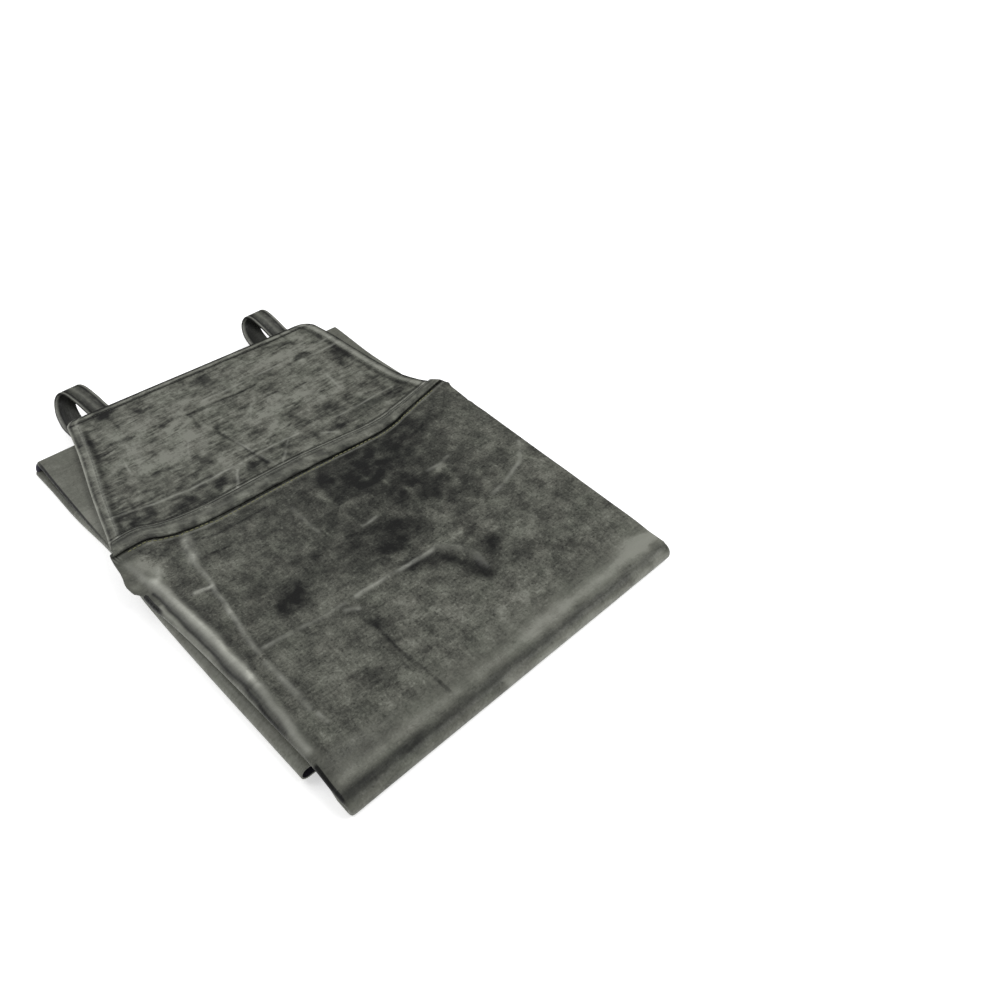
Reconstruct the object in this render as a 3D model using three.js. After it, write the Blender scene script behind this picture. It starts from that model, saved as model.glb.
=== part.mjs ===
// Work apron of rubber-coated cloth, folded flat for storage: both sides of the skirt are turned
// under, the skirt is folded in three, and the bib lies on top with its two strap loops behind it.
// Millimetres, +Z up. X runs along the near fold, Y from the near fold to the top of the bib.

import * as THREE from 'three';

// Sheet and straps
const sheetThickness = 1.2;
const sheetGap = 0.5;
const seatGap = 0.3;
const strapThickness = 2;
const strapWidth = 19.5;

// Folded skirt
const foldedWidth = 315;
const foldedLength = 432;
const sideFlapWidth = 242;
const hemSetback = 42;
const nearFoldBore = 5;
const rearFoldBore = 5;
const bottomRollHeight = 11.5;
const middleRollHeight = 3.4;
const topRollHeight = 6.2;
const rollShoulder = 6;
const rollFalloff = 78;
const rearSkew = 15;
const nearSkew = 2;
const flapStepLength = 18;

// Bib, seam and hems
const bibOverhang = 26.5;
const bibSpan = 333;
const seamShare = 0.6157;
const seamBandWidth = 16;
const seamJoint = 4;
const hemWidth = 12;
const seamEndSlant = 7;
const bibTopSlope = -0.073;
const bibCornerRound = 11;
const bibSag = 2;

// Strap loops
const strapLap = 13;
const loopReach = 29;
const loopRise = 17;

// Facets along and across the sheets
const foldSteps = 7;
const rollSteps = 6;
const creaseSteps = 4;
const flapColumns = 7;
const rollColumns = 8;
const flatColumns = 11;
const bibColumns = 20;
const loopSteps = 26;

const halfSheet = sheetThickness / 2;
const layerHeight = 3 * sheetThickness + 2 * sheetGap;
const middleLevel = layerHeight + sheetGap;
const topLevel = 2 * (layerHeight + sheetGap);
const nearFoldRadius = nearFoldBore / 2 + layerHeight;
const rearFoldRadius = rearFoldBore / 2 + layerHeight;
const restingHeight = topLevel + layerHeight;

// Each row is one line across the top layer, from the seam end to the near fold. y is a share of
// the folded length, left and right are shares of the folded width.
const topRows = [
  { y: 0.018, left: -0.525, right: 0.541 },
  { y: -0.050, left: -0.517, right: 0.536 },
  { y: -0.140, left: -0.511, right: 0.530 },
  { y: -0.250, left: -0.507, right: 0.523 },
  { y: -0.350, left: -0.505, right: 0.516 },
  { y: -0.410, left: -0.504, right: 0.512 },
  { y: -0.450, left: -0.504, right: 0.508 },
];

// The middle layer, from the near fold to the rear fold. step is how far its panel has climbed
// from the surface onto the bottom layer, and arch how far it has risen to the rear fold.
const middleRows = [
  { y: -0.462, left: -0.501, right: 0.502, step: 0.12, arch: 0 },
  { y: -0.440, left: -0.499, right: 0.502, step: 0.6, arch: 0 },
  { y: -0.414, left: -0.496, right: 0.502, step: 1, arch: 0 },
  { y: -0.250, left: -0.495, right: 0.502, step: 1, arch: 0 },
  { y: -0.050, left: -0.498, right: 0.502, step: 1, arch: 0 },
  { y: 0.120, left: -0.500, right: 0.501, step: 1, arch: 0 },
  { y: 0.270, left: -0.496, right: 0.494, step: 1, arch: 0.02 },
  { y: 0.360, left: -0.492, right: 0.490, step: 1, arch: 0.14 },
  { y: 0.420, left: -0.490, right: 0.490, step: 1, arch: 0.55 },
  { y: 0.460, left: -0.488, right: 0.490, step: 1, arch: 0.9 },
];

// The bottom layer, from the rear fold to the skirt's hem.
const bottomRows = [
  { y: 0.420, left: -0.500, right: 0.490 },
  { y: 0.320, left: -0.503, right: 0.490 },
  { y: 0.200, left: -0.497, right: 0.495 },
  { y: 0.060, left: -0.512, right: 0.500 },
  { y: -0.060, left: -0.514, right: 0.501 },
  { y: -0.220, left: -0.515, right: 0.501 },
];

// How full the left roll of each layer is along the package, as shares of its extra height. Past
// the hem the bottom column is how far the layers above still stand up.
const rollRows = [
  { y: -0.500, bottom: 0, middle: 0, top: 0 },
  { y: -0.462, bottom: 0.08, middle: 0.2, top: 0.35 },
  { y: -0.440, bottom: 0.45, middle: 0.5, top: 0.6 },
  { y: -0.410, bottom: 0.95, middle: 0.9, top: 0.8 },
  { y: -0.250, bottom: 1, middle: 1, top: 1 },
  { y: -0.060, bottom: 0.94, middle: 1, top: 1 },
  { y: 0.060, bottom: 0.8, middle: 1, top: 0.8 },
  { y: 0.200, bottom: 0.55, middle: 0.9, top: 0.5 },
  { y: 0.320, bottom: 0.36, middle: 0.8, top: 0 },
  { y: 0.420, bottom: 0.2, middle: 0.5, top: 0 },
  { y: 0.480, bottom: 0, middle: 0, top: 0 },
];

// The cut edges between the side folds and the ends of the waist seam, a share of the folded
// width out and of the folded length up.
const leftFoldTop = 0.047;
const leftArmhole = [
  { x: -0.5385, y: 0.067 },
  { x: -0.5400, y: 0.088 },
  { x: -0.5300, y: 0.118 },
  { x: -0.5150, y: 0.150 },
];

const rightArmhole = [
  { x: 0.5480, y: 0.136 },
  { x: 0.5540, y: 0.142 },
  { x: 0.5500, y: 0.150 },
  { x: 0.5420, y: 0.157 },
];

// The line of the waist seam from its left end to its right end. across is a share of the bib's
// span from the middle, rise a height over the seam's lowest point.
const seamRows = [
  { across: -0.500, rise: 22 },
  { across: -0.430, rise: 23 },
  { across: -0.400, rise: 22 },
  { across: -0.360, rise: 15.5 },
  { across: -0.315, rise: 11.5 },
  { across: -0.240, rise: 8.8 },
  { across: -0.060, rise: 6.5 },
  { across: 0.060, rise: 4.5 },
  { across: 0.180, rise: 1 },
  { across: 0.240, rise: 0 },
  { across: 0.285, rise: 1 },
  { across: 0.345, rise: 6 },
  { across: 0.405, rise: 11 },
  { across: 0.510, rise: 19 },
];

// Sides of the bib from the waist seam up, as shares of its length and of its span at the waist.
// rise is the share of the climb from the skirt's height to the top of the rear fold.
const bibRows = [
  { up: 0.00, left: -0.478, right: 0.492, rise: 0, sag: 0 },
  { up: 0.10, left: -0.462, right: 0.466, rise: 0, sag: 0.4 },
  { up: 0.22, left: -0.446, right: 0.448, rise: 0, sag: 0.9 },
  { up: 0.42, left: -0.418, right: 0.436, rise: 0.2, sag: 1 },
  { up: 0.62, left: -0.388, right: 0.428, rise: 0.6, sag: 0.5 },
  { up: 0.78, left: -0.366, right: 0.422, rise: 1, sag: 0 },
  { up: 0.90, left: -0.352, right: 0.417, rise: 1, sag: 0 },
  { up: 0.945, left: -0.346, right: 0.412, rise: 1, sag: 0 },
  { up: 1.00, left: -0.318, right: 0.384, rise: 1, sag: 0 },
];

// One strap loop's route from its outer leg over the bend to its inner leg: out is a share of the
// reach behind the bib, rise a share of the rise, drift a share of the sideways shift.
const loopRows = [
  { out: 0.00, rise: 0.00, drift: 0.00 },
  { out: 0.18, rise: 0.10, drift: 0.04 },
  { out: 0.48, rise: 0.50, drift: 0.15 },
  { out: 0.80, rise: 0.91, drift: 0.31 },
  { out: 0.95, rise: 0.97, drift: 0.46 },
  { out: 1.00, rise: 0.74, drift: 0.61 },
  { out: 0.93, rise: 0.42, drift: 0.74 },
  { out: 0.65, rise: 0.16, drift: 0.88 },
  { out: 0.25, rise: 0.02, drift: 0.97 },
  { out: 0.00, rise: 0.00, drift: 1.00 },
];

// Where each loop's outer leg leaves the bib, and how far over its inner leg stands, as shares of
// the bib's span.
const strapLoops = [
  { name: 'left_neck_loop', x: -0.2417, shift: -0.0785 },
  { name: 'right_neck_loop', x: 0.3197, shift: -0.0691 },
];

const rubber = new THREE.MeshStandardMaterial({ color: 0x6a6b64, roughness: 0.62, metalness: 0 });
const seamRubber = new THREE.MeshStandardMaterial({ color: 0x5c5e57, roughness: 0.6, metalness: 0 });
const strapRubber = new THREE.MeshStandardMaterial({ color: 0x4b4c47, roughness: 0.6, metalness: 0 });

const mix = (a, b, share) => a + (b - a) * share;
const ease = (value) => {
  const t = Math.min(Math.max(value, 0), 1);
  return t * t * (3 - 2 * t);
};
const steps = (count) => Array.from({ length: count }, (_, i) => i / (count - 1));

// Value of a column between two rows of a table whose first column runs in one direction.
function between(rows, key, at, column) {
  const rising = rows[rows.length - 1][key] > rows[0][key];
  let i = 0;
  while (i < rows.length - 2 && (rising ? at > rows[i + 1][key] : at < rows[i + 1][key])) i += 1;
  const share = (at - rows[i][key]) / (rows[i + 1][key] - rows[i][key]);
  return mix(rows[i][column], rows[i + 1][column], Math.min(Math.max(share, 0), 1));
}

// A grid of points on the middle of a sheet, rows of equal length, becomes one closed body: each
// point is moved half the thickness out along its own normal to either side.
function thickened(rows, thickness) {
  const rowCount = rows.length;
  const columnCount = rows[0].length;
  const positions = [];
  const normal = new THREE.Vector3();
  for (const side of [0.5, -0.5]) {
    for (let r = 0; r < rowCount; r += 1) {
      for (let c = 0; c < columnCount; c += 1) {
        const along = rows[Math.min(r + 1, rowCount - 1)][c].clone().sub(rows[Math.max(r - 1, 0)][c]);
        const across = rows[r][Math.min(c + 1, columnCount - 1)].clone().sub(rows[r][Math.max(c - 1, 0)]);
        normal.crossVectors(across, along).normalize();
        const p = rows[r][c].clone().addScaledVector(normal, side * thickness);
        positions.push(p.x, p.y, p.z);
      }
    }
  }
  const inner = rowCount * columnCount;
  const outerAt = (r, c) => r * columnCount + c;
  const innerAt = (r, c) => inner + r * columnCount + c;
  const triangles = [];
  const quad = (a, b, c, d) => triangles.push(a, b, c, a, c, d);
  for (let r = 0; r < rowCount - 1; r += 1) {
    for (let c = 0; c < columnCount - 1; c += 1) {
      quad(outerAt(r, c), outerAt(r, c + 1), outerAt(r + 1, c + 1), outerAt(r + 1, c));
      quad(innerAt(r, c), innerAt(r + 1, c), innerAt(r + 1, c + 1), innerAt(r, c + 1));
    }
    const last = columnCount - 1;
    quad(outerAt(r, 0), outerAt(r + 1, 0), innerAt(r + 1, 0), innerAt(r, 0));
    quad(outerAt(r, last), innerAt(r, last), innerAt(r + 1, last), outerAt(r + 1, last));
  }
  for (let c = 0; c < columnCount - 1; c += 1) {
    const last = rowCount - 1;
    quad(outerAt(0, c), innerAt(0, c), innerAt(0, c + 1), outerAt(0, c + 1));
    quad(outerAt(last, c), outerAt(last, c + 1), innerAt(last, c + 1), innerAt(last, c));
  }
  const geometry = new THREE.BufferGeometry();
  geometry.setAttribute('position', new THREE.Float32BufferAttribute(positions, 3));
  geometry.setIndex(triangles);
  geometry.computeVertexNormals();
  return geometry;
}

// The stack bulges over the rolls at its left side: 1 at the rolls, 0 where it lies flat.
const bulgeAt = (x) => 1 - ease((x + foldedWidth / 2 - rollShoulder) / rollFalloff);

// Points across one line of the folded skirt, from the free edge of the left flap round the left
// fold, over the panel and round the right fold to the free edge of the right flap. depth is
// measured from the middle of the panel towards the flaps.
function acrossSkirt(left, right, rollExtra) {
  const rollRadius = (layerHeight + rollExtra - sheetThickness) / 2;
  const creaseRadius = (layerHeight - sheetThickness) / 2;
  const leftX = left + halfSheet;
  const rightX = right - halfSheet;
  const flapEnd = left + sideFlapWidth;
  const flapDepth = layerHeight - sheetThickness;
  const tuckedDepth = sheetThickness + sheetGap;
  const stepEnd = flapEnd + 2 * sheetThickness;
  const tucked = (x) => mix(tuckedDepth, flapDepth, ease((x - stepEnd) / flapStepLength));
  const points = [];
  for (const t of steps(flapColumns)) {
    const x = mix(flapEnd, leftX + rollRadius, Math.sqrt(t));
    points.push({ x, depth: flapDepth + rollExtra * bulgeAt(x) });
  }
  for (let i = 1; i <= rollSteps; i += 1) {
    const turn = Math.PI * (0.5 - i / rollSteps);
    points.push({ x: leftX + rollRadius * (1 - Math.cos(turn)), depth: rollRadius * (1 + Math.sin(turn)) });
  }
  const panelStart = leftX + rollRadius;
  const flatStart = rollShoulder + rollFalloff - foldedWidth / 2;
  for (let i = 1; i <= rollColumns; i += 1) points.push({ x: mix(panelStart, flatStart, i / rollColumns), depth: 0 });
  for (let i = 1; i <= flatColumns; i += 1) {
    points.push({ x: mix(flatStart, rightX - creaseRadius, i / flatColumns), depth: 0 });
  }
  for (let i = 1; i <= creaseSteps; i += 1) {
    const turn = Math.PI * (i / creaseSteps - 0.5);
    points.push({ x: rightX - creaseRadius * (1 - Math.cos(turn)), depth: creaseRadius * (1 + Math.sin(turn)) });
  }
  const flapColumnsBack = [stepEnd + flapStepLength, mix(stepEnd, stepEnd + flapStepLength, 0.5), stepEnd];
  for (const x of [...flapColumnsBack, 0, right - sideFlapWidth]) points.push({ x, depth: tucked(x) });
  return points;
}

// One line of the skirt in space. y and z place the middle of its panel, turn is how far the
// panel's outside has turned from straight up towards the near side, and skew sets the left end of
// the line further back than the right one.
function skirtLine({ y, z, turn, left, right, rollExtra, lift, skew }) {
  return acrossSkirt(left, right, rollExtra).map((p) => new THREE.Vector3(
    p.x,
    y + p.depth * Math.sin(turn) + skew * (0.5 - p.x / foldedWidth),
    z - p.depth * Math.cos(turn) + lift * bulgeAt(p.x),
  ));
}

// Extra height of each layer's left roll at a place along the package.
function extrasAt(y) {
  const share = (layer) => between(rollRows, 'y', y / foldedLength, layer);
  return {
    bottom: (bottomRollHeight - layerHeight) * share('bottom'),
    middle: (middleRollHeight - layerHeight) * share('middle'),
    top: (topRollHeight - layerHeight) * share('top'),
  };
}
const stackLift = (y) => extrasAt(y).bottom + extrasAt(y).middle + extrasAt(y).top;

// The waist seam lies at its share of the folded length, and the bib reaches from it past the rear
// fold by its overhang.
const seamBase = (seamShare - 0.5) * foldedLength;
const bibLength = foldedLength / 2 + bibOverhang - seamBase;
const seamY = (x) => seamBase + between(seamRows, 'across', x / bibSpan, 'rise');
const seamEdge = (x) => seamY(x) + seamBandWidth / 2;
const topZ = (y) => mix(2 * nearFoldRadius, restingHeight, ease((y / foldedLength + 0.49) / 0.1)) - halfSheet;
const panelTopZ = (x, y) => topZ(y) + stackLift(y) * bulgeAt(x);

// The top edge of the skirt: the flaps' edges, the cut edge above each fold and the waist seam.
function skirtTopEdge(firstLine) {
  const line = firstLine.map((p) => p.clone());
  const leftFoldEnd = flapColumns + rollSteps - 1;
  const rightFoldStart = leftFoldEnd + rollColumns + flatColumns;
  const seamFrom = leftFoldEnd + leftArmhole.length;
  const seamTo = rightFoldStart - rightArmhole.length + 1;
  for (let i = 0; i <= leftFoldEnd; i += 1) line[i].y = leftFoldTop * foldedLength;
  for (let i = rightFoldStart; i < line.length; i += 1) line[i].y = rightArmhole[0].y * foldedLength;
  leftArmhole.forEach((row, k) => {
    line[leftFoldEnd + 1 + k].x = row.x * foldedWidth + halfSheet;
    line[leftFoldEnd + 1 + k].y = row.y * foldedLength;
  });
  rightArmhole.forEach((row, k) => {
    line[rightFoldStart - k].x = row.x * foldedWidth - halfSheet;
    line[rightFoldStart - k].y = row.y * foldedLength;
  });
  const seamLeft = line[seamFrom].x;
  const seamRight = line[seamTo].x;
  for (let i = seamFrom; i <= seamTo; i += 1) {
    line[i].x = mix(seamLeft, seamRight, (i - seamFrom) / (seamTo - seamFrom));
    line[i].y = seamEdge(line[i].x) - seamJoint / 2;
  }
  for (let i = leftFoldEnd + 1; i < rightFoldStart; i += 1) line[i].z = panelTopZ(line[i].x, line[i].y);
  return line;
}

function topLayer() {
  const lines = topRows.map((row) => skirtLine({
    y: row.y * foldedLength,
    z: topZ(row.y * foldedLength),
    turn: 0,
    left: row.left * foldedWidth,
    right: row.right * foldedWidth,
    rollExtra: extrasAt(row.y * foldedLength).top,
    lift: stackLift(row.y * foldedLength),
    skew: 0,
  }));
  const edge = skirtTopEdge(lines[0]);
  const towardsEdge = [0.34, 0.68].map((share) => edge.map((p, i) => p.clone().lerp(lines[0][i], share)));
  return [edge, ...towardsEdge, ...lines];
}

// A fold across the package: half a turn of the panel about a line at the given place.
function acrossFold({ y, z, radius, bulge, firstTurn, from, to, skew }) {
  return steps(foldSteps + 2).map((t) => skirtLine({
    y: y + bulge * radius * Math.sin(Math.PI * t),
    z: z + radius * Math.cos(Math.PI * t),
    turn: firstTurn + Math.PI * t,
    left: mix(from.left, to.left, t) * foldedWidth,
    right: mix(from.right, to.right, t) * foldedWidth,
    rollExtra: 0,
    lift: 0,
    skew,
  }));
}

function middleLayer() {
  const archRise = rearFoldRadius + rearFoldBore / 2 - middleLevel;
  return middleRows.map((row) => skirtLine({
    y: row.y * foldedLength,
    z: middleLevel * row.step + archRise * row.arch + halfSheet,
    turn: Math.PI,
    left: row.left * foldedWidth,
    right: row.right * foldedWidth,
    rollExtra: extrasAt(row.y * foldedLength).middle,
    lift: extrasAt(row.y * foldedLength).bottom,
    skew: mix(-nearSkew, rearSkew, ease(row.y + 0.5)),
  }));
}

function bottomLayer() {
  const rows = [...bottomRows, { ...bottomRows[bottomRows.length - 1], y: hemSetback / foldedLength - 0.5 }];
  return rows.map((row) => skirtLine({
    y: row.y * foldedLength,
    z: layerHeight - halfSheet,
    turn: 0,
    left: row.left * foldedWidth,
    right: row.right * foldedWidth,
    rollExtra: extrasAt(row.y * foldedLength).bottom,
    lift: extrasAt(row.y * foldedLength).bottom,
    skew: rearSkew * ease(row.y + 0.5),
  }));
}

function skirtRows() {
  const nearFold = acrossFold({
    y: nearFoldRadius - foldedLength / 2,
    z: nearFoldRadius,
    radius: nearFoldRadius - halfSheet,
    bulge: -1,
    firstTurn: 0,
    from: topRows[topRows.length - 1],
    to: middleRows[0],
    skew: -nearSkew,
  });
  const rearFold = acrossFold({
    y: foldedLength / 2 - rearFoldRadius,
    z: rearFoldRadius,
    radius: rearFoldBore / 2 + halfSheet,
    bulge: 1,
    firstTurn: Math.PI,
    from: middleRows[middleRows.length - 1],
    to: bottomRows[0],
    skew: rearSkew,
  });
  return [...topLayer(), ...nearFold, ...middleLayer(), ...rearFold, ...bottomLayer()];
}

// Height of the bib's middle over the surface, and its place in plan.
const bibRestZ = restingHeight - halfSheet;
const hemDrop = sheetThickness + seatGap;
const rearRise = 2 * rearFoldRadius + seatGap + hemDrop + halfSheet - bibRestZ;
const bibTopY = (x) => seamBase + bibLength + bibTopSlope * x;
function bibPoint(across, up, drop = 0) {
  const row = (column) => between(bibRows, 'up', up, column);
  const x = mix(row('left'), row('right'), across) * bibSpan;
  const y = mix(seamEdge(x) + seamJoint / 2, bibTopY(x), up);
  const sag = bibSag * row('sag') * Math.sin(Math.PI * across);
  const lift = stackLift(y) * bulgeAt(x);
  return new THREE.Vector3(x, y, bibRestZ + rearRise * row('rise') + lift - sag - drop);
}

function bibGeometry() {
  const ups = [0, 0.05, 0.12, 0.22, 0.32, 0.42, 0.52, 0.62, 0.7, 0.78, 0.85, 0.9, 0.945, 0.975, 1];
  const rows = ups.map((up) => steps(bibColumns + 1).map((across) => bibPoint(across, up)));
  return thickened(rows, sheetThickness);
}

// A strip that lies on or under the sheets, between two lines of points.
function stripGeometry(count, inner, outer, thickness) {
  const rows = steps(3).map((t) => steps(count).map((s) => inner(s).lerp(outer(s), t)));
  return thickened(rows, thickness);
}

function seamGeometry() {
  const left = leftArmhole[leftArmhole.length - 1].x * foldedWidth + halfSheet;
  const right = rightArmhole[rightArmhole.length - 1].x * foldedWidth - halfSheet;
  const line = (offset, inset) => (s) => {
    const x = mix(left + inset, right - inset, s);
    return new THREE.Vector3(x, seamY(x) + offset, panelTopZ(x, seamEdge(x)) + sheetThickness + seatGap);
  };
  return stripGeometry(33, line(0, 0), line(seamBandWidth, seamEndSlant), sheetThickness);
}

function topHemGeometry() {
  const from = 1 - hemWidth / bibLength;
  const inset = bibCornerRound / bibSpan;
  const at = (up) => (s) => bibPoint(mix(inset, 1 - inset, s), up, hemDrop);
  return stripGeometry(17, at(from), at(1), sheetThickness);
}

function sideHemGeometry(side) {
  const inset = hemWidth / bibSpan;
  const lowest = seamBandWidth / 2 / bibLength;
  const highest = 1 - (hemWidth + 2 * seatGap) / bibLength;
  const at = (share) => (s) => bibPoint(side < 0 ? share : 1 - share, mix(lowest, highest, s), hemDrop);
  return side < 0
    ? stripGeometry(13, at(inset), at(0), sheetThickness)
    : stripGeometry(13, at(0), at(inset), sheetThickness);
}

function loopGeometry(loop) {
  const x0 = loop.x * bibSpan;
  const shift = loop.shift * bibSpan;
  const baseZ = bibPoint(0.5, 1, hemDrop).z - halfSheet - seatGap - strapThickness / 2;
  const edgeY = bibTopY(x0 + shift / 2);
  const route = [
    { out: -strapLap / loopReach, rise: 0, drift: 0 },
    ...loopRows,
    { out: -strapLap / loopReach, rise: 0, drift: 1 },
  ];
  const points = route.map((row) => new THREE.Vector3(
    x0 + shift * row.drift,
    edgeY + loopReach * row.out,
    baseZ + loopRise * row.rise,
  ));
  const curve = new THREE.CatmullRomCurve3(points, false, 'centripetal');
  const rows = curve.getSpacedPoints(loopSteps).map((p) => steps(3).map((t) => new THREE.Vector3(
    p.x + strapWidth * (t - 0.5), p.y, p.z,
  )));
  return thickened(rows, strapThickness);
}

function named(name, geometry, material) {
  const mesh = new THREE.Mesh(geometry, material);
  mesh.name = name;
  return mesh;
}

const apron = new THREE.Group();
apron.name = 'folded_apron';
apron.add(named('skirt_panel', thickened(skirtRows(), sheetThickness), rubber));
apron.add(named('bib_panel', bibGeometry(), rubber));
apron.add(named('waist_seam', seamGeometry(), seamRubber));
apron.add(named('bib_top_hem', topHemGeometry(), seamRubber));
apron.add(named('bib_left_hem', sideHemGeometry(-1), seamRubber));
apron.add(named('bib_right_hem', sideHemGeometry(1), seamRubber));
for (const loop of strapLoops) apron.add(named(loop.name, loopGeometry(loop), strapRubber));

// The origin is on the surface, under the middle of the whole folded apron.
const bounds = new THREE.Box3().setFromObject(apron);
const centre = bounds.getCenter(new THREE.Vector3());
apron.position.set(-centre.x, -centre.y, -bounds.min.z);

export default apron;
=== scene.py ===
# %% [markdown]
# # A folded work apron
# The real object is a heavy bib apron of PVC-coated cloth, worn and soiled, folded flat for
# storage. This script loads the plain solids of the apron as a frame, and lays a detailed sheet
# over each of them: finer folds, creases, hems, stitches and a worn surface.

# %% The shared frame
import math

import bpy
import numpy as np
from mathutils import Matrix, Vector, noise


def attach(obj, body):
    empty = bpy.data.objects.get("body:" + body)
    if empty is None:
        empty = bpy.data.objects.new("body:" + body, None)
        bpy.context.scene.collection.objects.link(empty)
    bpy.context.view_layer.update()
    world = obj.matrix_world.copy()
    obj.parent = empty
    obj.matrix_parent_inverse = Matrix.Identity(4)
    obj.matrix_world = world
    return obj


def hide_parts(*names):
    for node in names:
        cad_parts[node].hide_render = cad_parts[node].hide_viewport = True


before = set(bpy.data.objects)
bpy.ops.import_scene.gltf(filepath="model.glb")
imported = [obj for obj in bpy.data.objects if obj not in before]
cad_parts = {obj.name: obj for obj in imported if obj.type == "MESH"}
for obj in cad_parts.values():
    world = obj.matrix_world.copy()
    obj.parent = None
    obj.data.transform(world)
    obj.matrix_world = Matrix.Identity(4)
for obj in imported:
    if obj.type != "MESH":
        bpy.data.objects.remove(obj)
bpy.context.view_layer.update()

print("solids", sorted(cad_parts))

# %% [markdown]
# ## Places and sizes
# The apron is drawn in millimetres on a plan of the folded package: X runs along the near fold
# and Y from the near fold to the top of the bib. The frame has its origin under the middle of
# the whole apron, so one small function moves points from the plan to the frame, in metres.

# %% From the plan to the frame
MM = 0.001
PLAN_CENTRE = np.array([2.200, 30.603, 0.0])


def to_frame(points):
    """Plan points in millimetres become points of the frame in metres."""
    return (np.asarray(points, float) - PLAN_CENTRE) * MM


# %% [markdown]
# ## The camera
# The camera stands at the near left corner and looks down at about 44 degrees. Its place and
# lens come from the straight edges of the package, so the render can be laid over the photo.

# %% Camera
CAMERA_PLACE = (-301.86, -500.82, 578.92)
CAMERA_DOWN = 44.34
CAMERA_TURN = 43.98
LENS_PIXELS = 984.94
SENSOR_MM = 36.0
PICTURE_PIXELS = 1001

camera = bpy.data.objects.new("camera", bpy.data.cameras.new("camera"))
bpy.context.scene.collection.objects.link(camera)
camera.data.sensor_width = SENSOR_MM
camera.data.lens = LENS_PIXELS * SENSOR_MM / PICTURE_PIXELS
camera.location = to_frame(CAMERA_PLACE)
camera.rotation_euler = (math.radians(90 - CAMERA_DOWN), 0, -math.radians(CAMERA_TURN))
bpy.context.scene.camera = camera
print("lens", round(camera.data.lens, 2), "mm")

# %% [markdown]
# ## Tables and smooth curves
# The same short tables that shape the solids shape the cloth. Between two rows a curve that
# never overshoots is used, so a fine mesh shows no kinks where the rows meet.

# %% Reading a table smoothly
def ease(value):
    t = np.clip(value, 0, 1)
    return t * t * (3 - 2 * t)


def along(rows, key, column, at):
    """Value of a column at places between the rows, on a smooth curve without overshoot."""
    x = np.array([row[key] for row in rows], float)
    y = np.array([row[column] for row in rows], float)
    if x[0] > x[-1]:
        x, y = x[::-1], y[::-1]
    step = np.diff(x)
    slope = np.diff(y) / step
    tangent = np.zeros(len(x))
    same = slope[:-1] * slope[1:] > 0
    inner = np.zeros(len(slope) - 1)
    inner[same] = 2 * slope[:-1][same] * slope[1:][same] / (slope[:-1][same] + slope[1:][same])
    tangent[1:-1] = inner
    tangent[0], tangent[-1] = slope[0], slope[-1]
    at = np.clip(np.asarray(at, float), x[0], x[-1])
    i = np.clip(np.searchsorted(x, at) - 1, 0, len(x) - 2)
    t = (at - x[i]) / step[i]
    return (
        y[i] * (2 * t**3 - 3 * t**2 + 1)
        + y[i + 1] * (3 * t**2 - 2 * t**3)
        + tangent[i] * step[i] * (t**3 - 2 * t**2 + t)
        + tangent[i + 1] * step[i] * (t**3 - t**2)
    )


# %% Sizes of the folded apron, in millimetres
SHEET = 1.2
SHEET_GAP = 0.5
SEAT_GAP = 0.3
FOLDED_WIDTH = 315.0
FOLDED_LENGTH = 432.0
SIDE_FLAP = 242.0
HEM_SETBACK = 42.0
FOLD_BORE = 5.0
BOTTOM_ROLL = 11.5
MIDDLE_ROLL = 3.4
TOP_ROLL = 6.2
ROLL_SHOULDER = 6.0
ROLL_FALLOFF = 78.0
REAR_SKEW = 15.0
NEAR_SKEW = 2.0
FLAP_STEP = 18.0
BIB_OVERHANG = 26.5
BIB_SPAN = 333.0
BIB_TOP_SLOPE = -0.073
BIB_SAG = 2.0
SEAM_SHARE = 0.6157
SEAM_BAND = 16.0
SEAM_JOINT = 4.0
BAND_WIDTHS = [
    {"across": -0.50, "width": 14.5},
    {"across": -0.32, "width": 17.0},
    {"across": 0.00, "width": 17.5},
    {"across": 0.13, "width": 16.0},
    {"across": 0.30, "width": 12.5},
    {"across": 0.40, "width": 9.5},
    {"across": 0.52, "width": 8.5},
]
SEAM_END_SLANT = 7.0
HEM_WIDTH = 12.0
STRAP = 2.0
STRAP_WIDTH = 19.5
STRAP_LAP = 13.0
LOOP_REACH = 29.0
LOOP_RISE = 17.0

LAYER = 3 * SHEET + 2 * SHEET_GAP
MIDDLE_LEVEL = LAYER + SHEET_GAP
TOP_LEVEL = 2 * MIDDLE_LEVEL
FOLD_RADIUS = FOLD_BORE / 2 + LAYER
RESTING = TOP_LEVEL + LAYER
SEAM_BASE = (SEAM_SHARE - 0.5) * FOLDED_LENGTH
BIB_LENGTH = FOLDED_LENGTH / 2 + BIB_OVERHANG - SEAM_BASE
print("three layers stand", RESTING, "mm high, the bib is", round(BIB_LENGTH, 1), "mm long")

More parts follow.
